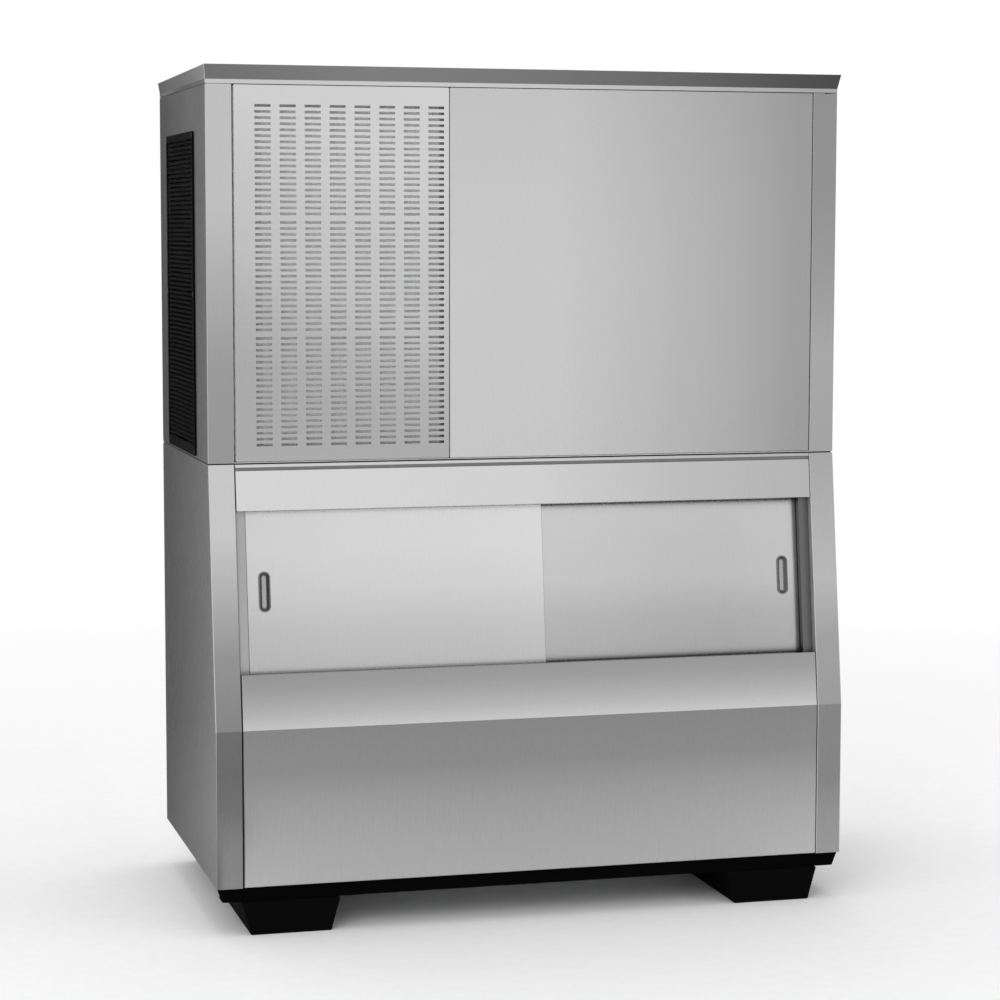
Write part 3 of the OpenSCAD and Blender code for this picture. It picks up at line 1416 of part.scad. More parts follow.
// The tube on the back of an evaporator, in straight rows joined by U-bends
module serpentine(x) {
  pitch = (suction_z - liquid_z) / (tube_rows - 1);
  y = evap_back + tube_r - 0.5;
  for (i = [0 : tube_rows - 1]) {
    z = liquid_z + i * pitch;
    rod_x(x - tube_reach, x + tube_reach, y, z, tube_r);
    if (i < tube_rows - 1) translate([x + (i % 2 == 0 ? tube_reach : -tube_reach), y, z + pitch / 2])
      rotate([90, 0, 0]) rotate(i % 2 == 0 ? -90 : 90) rotate_extrude(angle = 180)
        translate([pitch / 2, 0]) circle(r = tube_r);
  }
  rod_y(y, stub_y, x - stub_x, liquid_z, tube_r);
  rod_y(y, stub_y, x + stub_x, suction_z, tube_r);
}

module water_distributor() color(white) difference() {
  union() {
    for (x = evap_xs)
      rod_x(x - bracket_off + fit, x + bracket_off - fit, distributor_y, distributor_z, distributor_r);
    rod_x(riser_end + fit, evap_x2, distributor_y, distributor_z, hose_r);
  }
  for (x = evap_xs, i = [0 : cell_cols - 1])
    rod_z(distributor_z - distributor_r - 1, distributor_z - distributor_r + 6,
      x + (i - (cell_cols - 1) / 2) * cell_pitch, distributor_y, 1.5);
}

module curtain(x) {
  low = trough_z1 + 12;
  span(x - curtain_x, x + curtain_x, pivot_y - curtain_t / 2, pivot_y + curtain_t / 2, low, pivot_z);
  rod_x(x - curtain_x, x + curtain_x, pivot_y, pivot_z, pin_r + 2.5);
  ribs = floor(cell_cols / 4);
  for (i = [-ribs : ribs])
    span(x + 2 * i * cell_pitch - 1.5, x + 2 * i * cell_pitch + 1.5, pivot_y - curtain_t / 2 - 5,
      pivot_y, low + 15, pivot_z - 20);
  span(x - curtain_x, x + curtain_x, pivot_y - 6, pivot_y, low, low + 2.5);
  rod_x(x - curtain_x - bracket_t, x + curtain_x + bracket_t, pivot_y, pivot_z, pin_r);
}

module curtain_left() color(white) curtain(evap_x1);

module curtain_right() color(white) curtain(evap_x2);

module water_trough() color(white) {
  difference() {
    span(trough_x0, trough_x1, trough_y0, bulkhead_y, trough_z0, trough_z1);
    span(trough_x0 + trough_wall, trough_x1 - trough_wall, trough_y0 + trough_wall,
      bulkhead_y - trough_wall, trough_z0 + trough_wall, trough_z1 + 1);
    rod_z(trough_z0 - 1, trough_z0 + trough_wall + 1, outlet_at.x, pump_at.y, drain_pipe_r - 0.5);
  }
}

module pump() color(grey) {
  x = pump_at.x;
  y = pump_at.y;
  neck_r = pump_shaft_r + 8;
  room_r = impeller_r + 2;
  room_z1 = volute_z + volute_h - 8;
  difference() {
    union() {
      rod_z(volute_z, volute_z + volute_h, x, y, room_r + volute_wall);
      rod_z(volute_z + volute_h - 2, pump_motor_z + 2, x, y, neck_r);
      rod_z(pump_motor_z, pump_motor_z + pump_motor_h, x, y, pump_motor_r);
      rod_x(x, x + impeller_r + 14, y, volute_z + volute_h / 2 - 1, hose_r);
      span(x - neck_r, x + neck_r, y, bulkhead_y, pump_motor_z, pump_motor_z + 6);
    }
    rod_z(volute_z + volute_wall, room_z1, x, y, room_r);
    rod_z(volute_z - 1, volute_z + volute_wall + 1, x, y, impeller_r / 2);
    rod_z(room_z1 - 2, pump_motor_z + pump_motor_h - 20, x, y, pump_shaft_r + running);
  }
}

module pump_impeller() color(black) {
  x = pump_at.x;
  y = pump_at.y;
  rod_z(impeller_z, pump_motor_z + pump_motor_h - 30, x, y, pump_shaft_r);
  rod_z(impeller_z, impeller_z + 2, x, y, impeller_r);
  for (i = [0 : impeller_vanes - 1]) translate([x, y, impeller_z]) rotate(i * 360 / impeller_vanes)
    span(2, impeller_r - 1, -1, 1, 0, 9);
}

module float_valve() color(white) difference() {
  span(valve_at.x - 15, valve_at.x + 15, valve_at.y, bulkhead_y, valve_at.z - 9, valve_at.z + 9);
  rod_y(valve_at.y - 1, valve_at.y + 12, valve_at.x, valve_at.z, 2 + running);
}

module float_arm() color(black) {
  float_x = valve_at.x + float_arm_l;
  arm_y = valve_at.y - 4 - fit;
  rod_y(arm_y, valve_at.y + 11, valve_at.x, valve_at.z, 2);
  rod_y(arm_y, arm_y + 4, valve_at.x, valve_at.z, 6);
  translate([valve_at.x, 0, valve_at.z]) rotate([0, atan2(float_drop, float_arm_l), 0])
    span(0, norm([float_arm_l, float_drop]), arm_y + 0.5, arm_y + 3.5, -2.5, 2.5);
  float_z1 = valve_at.z - float_drop + 4;
  rod_z(float_z1 - float_h, float_z1, float_x, arm_y - float_r + 8, float_r);
}

// Services

module water_valve() color(white) {
  x = inlet_at.x;
  z = inlet_at.y;
  y1 = rear_y - sheet_t;
  difference() {
    union() {
      span(x - 18, x + 18, y1 - 34, y1, z - 18, z + 18);
      rod_y(y1 - 1, rear_y + connection_l, x, z, inlet_r);
      hex_nut_y(x, rear_y, z, nut_h, inlet_r + nut_w);
      rod_z(z + 17, z + 52, x, y1 - 17, 15);
      rod_x(x - 30, x - 17, y1 - 17, z, 6);
    }
    rod_y(y1 - 20, y_back + 1, x, z, inlet_r - 5.2);
  }
}

module water_hoses() color(grey) {
  y1 = rear_y - sheet_t - 17;
  port_z = volute_z + volute_h / 2 - 1;
  // Pump to distributor
  route([
    [pump_at.x + impeller_r + 14, pump_at.y, port_z], [riser_x, pump_at.y, port_z],
    [riser_x, distributor_y, distributor_z], [riser_end, distributor_y, distributor_z]
  ], hose_r - 1);
  // Inlet valve to float valve
  route([
    [inlet_at.x - 30, y1, inlet_at.y], [valve_at.x, y1, inlet_at.y],
    [valve_at.x, y1, valve_at.z], [valve_at.x, bulkhead_y, valve_at.z]
  ], 4);
  // Trough drain to the rear spigot, which two nuts hold in the rear panel
  difference() {
    union() {
      route([
        [outlet_at.x, pump_at.y, trough_z0], [outlet_at.x, pump_at.y, outlet_at.y],
        [outlet_at.x, rear_y - 10, outlet_at.y]
      ], drain_pipe_r);
      rod_y(rear_y - 12, rear_y + connection_l, outlet_at.x, outlet_at.y, drain_r);
      for (y = [rear_y - sheet_t - nut_h, rear_y])
        hex_nut_y(outlet_at.x, y, outlet_at.y, nut_h, drain_r + nut_w);
    }
    rod_y(rear_y - 20, y_back + 1, outlet_at.x, outlet_at.y, drain_r - 3);
  }
}

module cable_gland() color(black) difference() {
  union() {
    rod_y(rear_y - sheet_t - 14, rear_y + 15, gland_at.x, gland_at.y, gland_bore_r + 3);
    hex_nut_y(gland_at.x, rear_y, gland_at.y, 2 * nut_h, gland_bore_r + 8);
    hex_nut_y(gland_at.x, rear_y - sheet_t - 2 * nut_h, gland_at.y, 2 * nut_h, gland_bore_r + 8);
  }
  rod_y(rear_y - 30, rear_y + 20, gland_at.x, gland_at.y, gland_bore_r);
}

base_frame();
skids();
skid_bolts();
bin_side_left();
bin_side_right();
bin_back_panel();
bin_base_pan();
bin_front_panel();
bin_fascia();
bin_top_rail();
bin_liner();
bin_insulation();
bin_drain();
door_jambs();
door_track_low();
door_track_high();
door_left();
door_left_core();
door_left_pull();
door_right();
door_right_core();
door_right_pull();
seam_gaskets();
head_base();
head_frame();
head_side_left();
head_side_right();
head_rear_panel();
vent_panel();
front_panel();
top_cover();
side_grille();
grille_screws();
air_filter();
divider_wall();
condenser();
fan_shroud();
fan_motor();
fan_blade();
compressor();
compressor_mounts();
filter_drier();
hot_gas_valve();
refrigerant_pipes();
control_box();
control_box_cover();
power_switch();
evaporator_bulkhead();
evaporators();
water_distributor();
curtain_left();
curtain_right();
water_trough();
pump();
pump_impeller();
float_valve();
float_arm();
water_valve();
water_hoses();
cable_gland();
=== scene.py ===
"""Cube ice machine on a slope-fronted storage bin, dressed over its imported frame."""
import json
import math

import bpy
from mathutils import Matrix, Vector


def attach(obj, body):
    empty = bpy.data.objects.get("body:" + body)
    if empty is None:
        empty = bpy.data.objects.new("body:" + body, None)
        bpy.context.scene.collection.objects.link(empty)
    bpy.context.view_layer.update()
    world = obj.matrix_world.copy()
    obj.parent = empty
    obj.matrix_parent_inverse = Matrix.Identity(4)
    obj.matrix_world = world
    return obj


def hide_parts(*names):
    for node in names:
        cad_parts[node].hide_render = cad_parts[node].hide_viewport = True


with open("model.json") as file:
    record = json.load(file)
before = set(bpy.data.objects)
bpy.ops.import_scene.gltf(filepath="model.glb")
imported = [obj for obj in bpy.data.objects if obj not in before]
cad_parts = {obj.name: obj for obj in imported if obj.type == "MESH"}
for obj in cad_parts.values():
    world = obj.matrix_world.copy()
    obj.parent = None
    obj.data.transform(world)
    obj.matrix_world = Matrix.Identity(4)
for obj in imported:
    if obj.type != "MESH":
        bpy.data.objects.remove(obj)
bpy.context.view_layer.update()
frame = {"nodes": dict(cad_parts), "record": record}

NODES = frame["nodes"]

ACROSS, INWARD, UP = (1, 0, 0), (0, 1, 0), (0, 0, 1)
SIDES = (("left", -1), ("right", 1))

# Sizes shared by the pieces below, in metres
HALF_W = 0.625
SHEET = 0.0015
STRIPE = 0.050
INNER_X = HALF_W - STRIPE
PANEL_X = INNER_X - 0.001
Y_BACK, Y_FACE, Y_KNEE = 0.325, -0.260, -0.325
Z_BIN, Z_KNEE, Z_SEAM = 0.092, 0.390, 0.8855
Z_HEAD, Z_HEAD_TOP = 0.888, 1.592
SLOPE = math.atan2(Y_FACE - Y_KNEE, Z_SEAM - Z_KNEE)
# Distances up the slope from the knee
SILL_TOP, FASCIA_LOW, FASCIA_TOP = 0.1059, 0.4119, 0.4882
# Half the width of the door opening
OPENING_X = 0.555
# The top cover: its underside, where its lip starts to flare, and its top
Z_COVER, Z_FLARE, Z_TOP = 1.5921, 1.601, 1.6275
# How far the edges of the panels are turned in, on the head and on the bin
HEAD_TURN, BIN_TURN = 0.020, 0.018
# Height of the bright rail along the top of the bin
RAIL_H = 0.0060
# Distance of each runner from the middle of the machine
RUNNER_X = 0.483
# The vent panel and the plain panel beside it, from left to right
VENT_X0, VENT_X1, PLAIN_X0 = -0.572, -0.160, -0.159
UP_SLOPE = Vector((0, math.sin(SLOPE), math.cos(SLOPE)))
INTO_SLOPE = Vector((0, math.cos(SLOPE), -math.sin(SLOPE)))


def on_slope(x, depth, along):
    """A point of the sloped front: across, behind its skin, and up it from the knee."""
    return Vector((x, Y_KNEE, Z_KNEE)) + INTO_SLOPE * depth + UP_SLOPE * along


# Shaping helpers

def alone(piece):
    """Makes a piece the only selected and active object."""
    bpy.ops.object.select_all(action="DESELECT")
    piece.select_set(True)
    bpy.context.view_layer.objects.active = piece


def settle(name):
    """Names the new primitive and moves its place into its mesh."""
    piece = bpy.context.object
    piece.name = name
    bpy.ops.object.transform_apply(location=True, rotation=True, scale=True)
    return piece


def block(name, low, high):
    bpy.ops.object.select_all(action="DESELECT")
    middle = [(a + b) / 2 for a, b in zip(low, high)]
    size = [b - a for a, b in zip(low, high)]
    bpy.ops.mesh.primitive_cube_add(size=1, location=middle, scale=size)
    return settle(name)


def plate(name, low, high, facing):
    """A flat rectangle that faces along one axis; low and high agree on that axis."""
    bpy.ops.object.select_all(action="DESELECT")
    middle = [(a + b) / 2 for a, b in zip(low, high)]
    turn, size = {
        "x": ((0, math.pi / 2, 0), (high[2] - low[2], high[1] - low[1], 1)),
        "y": ((math.pi / 2, 0, 0), (high[0] - low[0], high[2] - low[2], 1)),
        "z": ((0, 0, 0), (high[0] - low[0], high[1] - low[1], 1)),
    }[facing]
    bpy.ops.mesh.primitive_plane_add(size=1, location=middle, rotation=turn)
    bpy.context.object.scale = size
    return settle(name)


def pick(piece, kind, test):
    """Opens a piece for editing with the faces, edges or points picked whose middle passes the test."""
    alone(piece)
    if piece.mode != "OBJECT":
        bpy.ops.object.mode_set(mode="OBJECT")
    mesh = piece.data
    bpy.ops.object.mode_set(mode="EDIT")
    bpy.ops.mesh.select_mode(type=kind)
    bpy.ops.mesh.select_all(action="DESELECT")
    bpy.ops.object.mode_set(mode="OBJECT")
    if kind == "FACE":
        for face in mesh.polygons:
            face.select = test(face.center, face.normal)
    elif kind == "EDGE":
        for edge in mesh.edges:
            a, b = (mesh.vertices[i].co for i in edge.vertices)
            edge.select = test((a + b) / 2, (b - a).normalized())
    else:
        for point in mesh.vertices:
            point.select = test(point.co, point.normal)
    bpy.ops.object.mode_set(mode="EDIT")


def done():
    bpy.ops.object.mode_set(mode="OBJECT")


def near(a, b, room=0.0004):
    return abs(a - b) < room


def anywhere(c, n):
    """The test that everything passes."""
    return True


def cut_away(piece, point, normal, filled=False):
    """Cuts off what lies ahead of a plane, and closes the cut if it is to be filled."""
    pick(piece, "FACE", anywhere)
    bpy.ops.mesh.bisect(plane_co=point, plane_no=normal, clear_outer=True, use_fill=filled)
    done()


def delete_faces(piece, test):
    pick(piece, "FACE", test)
    bpy.ops.mesh.delete(type="FACE")
    done()


def shift_points(piece, test, step):
    pick(piece, "VERT", test)
    bpy.ops.transform.translate(value=step)
    done()


def turn_over(piece):
    """Swaps the two sides of a sheet."""
    pick(piece, "FACE", anywhere)
    bpy.ops.mesh.flip_normals()
    done()


def bevel(piece, width, rounds, crease):
    """Rounds the edges that turn by more than an angle in degrees."""
    alone(piece)
    soft = piece.modifiers.new("edges", "BEVEL")
    soft.width, soft.segments = width, rounds
    soft.limit_method, soft.angle_limit = "ANGLE", math.radians(crease)
    bpy.ops.object.modifier_apply(modifier="edges")


def thicken(piece, thickness, even=False):
    """Gives a sheet its thickness, inwards."""
    alone(piece)
    wall = piece.modifiers.new("wall", "SOLIDIFY")
    wall.thickness, wall.offset, wall.use_even_offset = thickness, -1, even
    bpy.ops.object.modifier_apply(modifier="wall")


def smooth(crease=32):
    """Shades the active piece smoothly up to an angle in degrees between two faces."""
    bpy.ops.object.shade_smooth_by_angle(angle=math.radians(crease))


def join(piece, other):
    """Makes the other piece part of the first."""
    bpy.ops.object.select_all(action="DESELECT")
    other.select_set(True)
    piece.select_set(True)
    bpy.context.view_layer.objects.active = piece
    bpy.ops.object.join()
    return piece


def fold(piece, test, *steps):
    """Draws the picked edges out, once for each step."""
    pick(piece, "EDGE", test)
    for step in steps:
        bpy.ops.mesh.extrude_edges_move(TRANSFORM_OT_translate={"value": step})
    done()


def finish_sheet(piece, outward, bend=0.0022, thickness=SHEET, crease=5, rounds=3):
    """Rounds the folds of a bent sheet and gives it its thickness, inwards."""
    pick(piece, "FACE", anywhere)
    bpy.ops.mesh.remove_doubles(threshold=1e-5)
    bpy.ops.mesh.normals_make_consistent(inside=False)
    done()
    largest = max(piece.data.polygons, key=lambda face: face.area)
    if largest.normal.dot(Vector(outward)) < 0:
        turn_over(piece)
    bevel(piece, bend, rounds, crease)
    thicken(piece, thickness, even=True)
    smooth()
    return piece


def round_edges(piece, width, rounds=3, crease=30):
    bevel(piece, width, rounds, crease)
    smooth()
    return piece


# Finishes

def start_finish(name, metal, rough):
    finish = bpy.data.materials.new(name)
    finish.use_nodes = True
    shader = finish.node_tree.nodes["Principled BSDF"]
    shader.inputs["Metallic"].default_value = metal
    shader.inputs["Roughness"].default_value = rough
    return finish, finish.node_tree.nodes, finish.node_tree.links, shader


def noise(nodes, links, scale, detail=3.0, roughness=0.55, lean=0.0):
    """Noise on Object coordinates, stretched by a scale for each axis of a sheet that leans back."""
    place = nodes.new("ShaderNodeTexCoord")
    stretch = nodes.new("ShaderNodeMapping")
    stretch.vector_type = "TEXTURE"
    stretch.inputs["Rotation"].default_value = (-lean, 0, 0)
    stretch.inputs["Scale"].default_value = [1 / step for step in scale]
    links.new(place.outputs["Object"], stretch.inputs["Vector"])
    grain = nodes.new("ShaderNodeTexNoise")
    grain.inputs["Scale"].default_value = 1.0
    grain.inputs["Detail"].default_value = detail
    grain.inputs["Roughness"].default_value = roughness
    links.new(stretch.outputs["Vector"], grain.inputs["Vector"])
    return grain.outputs["Fac"]


def ramp(nodes, links, value, stops):
    """Colours between stops; each stop is a place from 0 to 1 and a grey or a colour."""
    scale = nodes.new("ShaderNodeValToRGB")
    entries = scale.color_ramp.elements
    while len(entries) < len(stops):
        entries.new(0.5)
    for entry, (place, tone) in zip(entries, stops):
        entry.position = place
        entry.color = (*tone, 1) if isinstance(tone, (tuple, list)) else (tone, tone, tone, 1)
    links.new(value, scale.inputs["Fac"])
    return scale.outputs["Color"]


def spread(nodes, links, value, low, high, to_low=0.0, to_high=1.0):
    """A value that runs from low to high, laid over another range."""
    scale = nodes.new("ShaderNodeMapRange")
    for key, number in (("From Min", low), ("From Max", high), ("To Min", to_low), ("To Max", to_high)):
        scale.inputs[key].default_value = number
    links.new(value, scale.inputs["Value"])
    return scale.outputs["Result"]


def times(nodes, links, a, b):
    """One colour multiplied by another."""
    first, second, product = 6, 7, 2
    mix = nodes.new("ShaderNodeMix")
    mix.data_type, mix.blend_type = "RGBA", "MULTIPLY"
    mix.inputs["Factor"].default_value = 1.0
    links.new(a, mix.inputs[first])
    links.new(b, mix.inputs[second])
    return mix.outputs[product]


def relief(nodes, links, shader, value, height):
    """Fine unevenness of a surface; the height is in metres."""
    bump = nodes.new("ShaderNodeBump")
    bump.inputs["Strength"].default_value = 1.0
    bump.inputs["Distance"].default_value = height
    links.new(value, bump.inputs["Height"])
    links.new(bump.outputs["Normal"], shader.inputs["Normal"])


def brushed_steel(name, tone, rough=0.26, grain="z", painted_shades=(), lean=0.0):
    """Brushed sheet: fine scratches along the grain, soft clouding, and slow painted shade and
    reflection gradients over the sheet.
    A painted shade is a direction, two distances along it in metres, and stops that multiply the tone."""
    finish, nodes, links, shader = start_finish(name, 1.0, rough)
    fine, long, scratch_height = 1400.0, 7.0, 0.000001
    scratch_scale = (fine, fine, long) if grain == "z" else (long, fine, fine)
    scratch = noise(nodes, links, scratch_scale, 3.0, 0.5, lean)
    cloud = noise(nodes, links, (2.2, 2.2, 2.2), 2.0, 0.5)
    colour = ramp(nodes, links, scratch, [
        (0.25, [tone * k for k in (0.994, 0.994, 0.999)]),
        (0.75, [tone * k for k in (1.004, 1.004, 1.009)])])
    colour = times(nodes, links, colour, ramp(nodes, links, cloud, [(0.35, 0.985), (0.65, 1.0)]))
    for direction, low, high, stops in painted_shades:
        place = nodes.new("ShaderNodeTexCoord")
        along = nodes.new("ShaderNodeVectorMath")
        along.operation = "DOT_PRODUCT"
        along.inputs[1].default_value = direction
        links.new(place.outputs["Object"], along.inputs[0])
        part = spread(nodes, links, along.outputs["Value"], low, high)
        colour = times(nodes, links, colour, ramp(nodes, links, part, stops))
    links.new(colour, shader.inputs["Base Color"])
    shine = spread(nodes, links, scratch, 0.3, 0.7, rough - 0.02, rough + 0.03)
    links.new(shine, shader.inputs["Roughness"])
    relief(nodes, links, shader, scratch, scratch_height)
    return finish


def coated(name, colour, metal=0.0, rough=0.5, grain=60.0, uneven=0.06, height=0.0001, coat=0.0,
           speck=None, gloss=0.5):
    """Paint, plastic, rubber, foam or cast metal: an even colour with a fine texture of its own."""
    finish, nodes, links, shader = start_finish(name, metal, rough)
    texture = noise(nodes, links, (grain,) * 3, 4.0, 0.6)
    wide = noise(nodes, links, (3.1,) * 3, 2.0, 0.5)
    dark = [max(0.0, c * (1 - uneven)) for c in colour]
    light = [min(1.0, c * (1 + uneven)) for c in colour]
    tint = ramp(nodes, links, texture, [(0.35, dark), (0.65, light)])
    tint = times(nodes, links, tint, ramp(nodes, links, wide, [(0.35, 0.96), (0.65, 1.0)]))
    if speck:
        spots = noise(nodes, links, (grain * 6,) * 3, 1.0, 0.4)
        tint = times(nodes, links, tint, ramp(nodes, links, spots, [(0.3, speck), (0.42, 1.0)]))
    links.new(tint, shader.inputs["Base Color"])
    links.new(spread(nodes, links, texture, 0.3, 0.7, max(0.03, rough - 0.07), rough + 0.07),
              shader.inputs["Roughness"])
    shader.inputs["Coat Weight"].default_value = coat
    shader.inputs["Specular IOR Level"].default_value = gloss
    relief(nodes, links, shader, texture, height)
    return finish


def spangled(name, tone):
    """Zinc-coated sheet, with the flat crystals of its coating."""
    finish, nodes, links, shader = start_finish(name, 0.9, 0.42)
    place = nodes.new("ShaderNodeTexCoord")
    cells = nodes.new("ShaderNodeTexVoronoi")
    cells.inputs["Scale"].default_value = 70.0
    links.new(place.outputs["Object"], cells.inputs["Vector"])
    grey = nodes.new("ShaderNodeSeparateXYZ")
    links.new(cells.outputs["Color"], grey.inputs["Vector"])
    dark, light = ((tone * k, tone * k * 1.01, tone * k * 1.03) for k in (0.86, 1.08))
    colour = ramp(nodes, links, grey.outputs["X"], [(0.0, dark), (1.0, light)])
    soft = noise(nodes, links, (6.0,) * 3, 3.0, 0.6)
    colour = times(nodes, links, colour, ramp(nodes, links, soft, [(0.35, 0.93), (0.65, 1.0)]))
    links.new(colour, shader.inputs["Base Color"])
    links.new(spread(nodes, links, grey.outputs["Y"], 0.0, 1.0, 0.34, 0.5), shader.inputs["Roughness"])
    relief(nodes, links, shader, soft, 0.0002)
    return finish


FINISHES = {
    "stainless": brushed_steel("stainless", 0.62),
    # Its darker tone than the other stainless is painted shade of the cornice
    "cover_steel": brushed_steel("cover steel", 0.30, 0.4, grain="x"),
    # The jambs' steel is darker than the panels and fades darker towards the right: painted shade
    "jamb_steel": brushed_steel("jamb steel with painted shade", 0.40, 0.36, lean=SLOPE, painted_shades=[
        (ACROSS, -INNER_X, INNER_X, [(0.1, 1.0), (0.9, 0.36)])]),
    "galvanised": spangled("galvanised sheet", 0.60),
    "black_paint": coated("black paint", (0.002, 0.002, 0.002), rough=0.6, grain=420,
                          height=0.00006, gloss=0.01),
    "skid_plastic": coated("runner black", (0.003, 0.003, 0.003), rough=0.6, grain=260, gloss=0.01),
    "zinc_fastener": coated("zinc plate", (0.66, 0.66, 0.64), metal=1.0, rough=0.3, grain=300),
    "black_plastic": coated("black plastic", (0.002, 0.002, 0.0022), rough=0.5, grain=500, gloss=0.02),
    "filter_mesh": coated("filter wire", (0.92, 0.92, 0.93), rough=0.7, grain=900, gloss=0.2),
    "black_screw": coated("blackened screw", (0.03, 0.03, 0.032), metal=0.6, rough=0.35, grain=500),
    "pull_chrome": coated("pull plating", (0.19, 0.19, 0.192), metal=1.0, rough=0.3, grain=300),
    # The floor of the pull gets a lighter, unplated grey than its rim: painted light in the cup
    "pull_floor": coated("painted light on the floor of a pull", (0.40, 0.40, 0.40), rough=0.5, grain=300, gloss=0.3),
    "track_aluminium": coated("track aluminium", (0.42, 0.43, 0.44), metal=1.0, rough=0.38, grain=200),
    "liner_white": coated("liner plastic", (0.80, 0.82, 0.83), rough=0.35, grain=240,
                          uneven=0.015, coat=0.2),
    "insulation_foam": coated("insulation foam", (0.78, 0.68, 0.42), rough=0.9, grain=160, uneven=0.12,
                              height=0.001, speck=0.8),
    "gasket_rubber": coated("gasket rubber", (0.02, 0.02, 0.021), rough=0.7, grain=380, height=0.0002),
    "coil_aluminium": coated("fin aluminium", (0.58, 0.60, 0.62), metal=1.0, rough=0.4, grain=120),
    "motor_grey": coated("motor casting", (0.22, 0.225, 0.23), metal=0.5, rough=0.45, grain=300,
                         height=0.0003),
    "copper": coated("copper", (0.72, 0.37, 0.22), metal=1.0, rough=0.3, grain=60, uneven=0.12),
    "evaporator_nickel": coated("nickel plate", (0.62, 0.61, 0.57), metal=1.0, rough=0.27, grain=90),
    "water_plastic": coated("water-side plastic", (0.78, 0.80, 0.82), rough=0.42, grain=200,
                            uneven=0.02),
    "curtain_plastic": coated("curtain plastic", (0.72, 0.79, 0.83), rough=0.25, grain=150,
                              uneven=0.02),
    "hose_grey": coated("hose", (0.34, 0.36, 0.38), rough=0.5, grain=350),
}
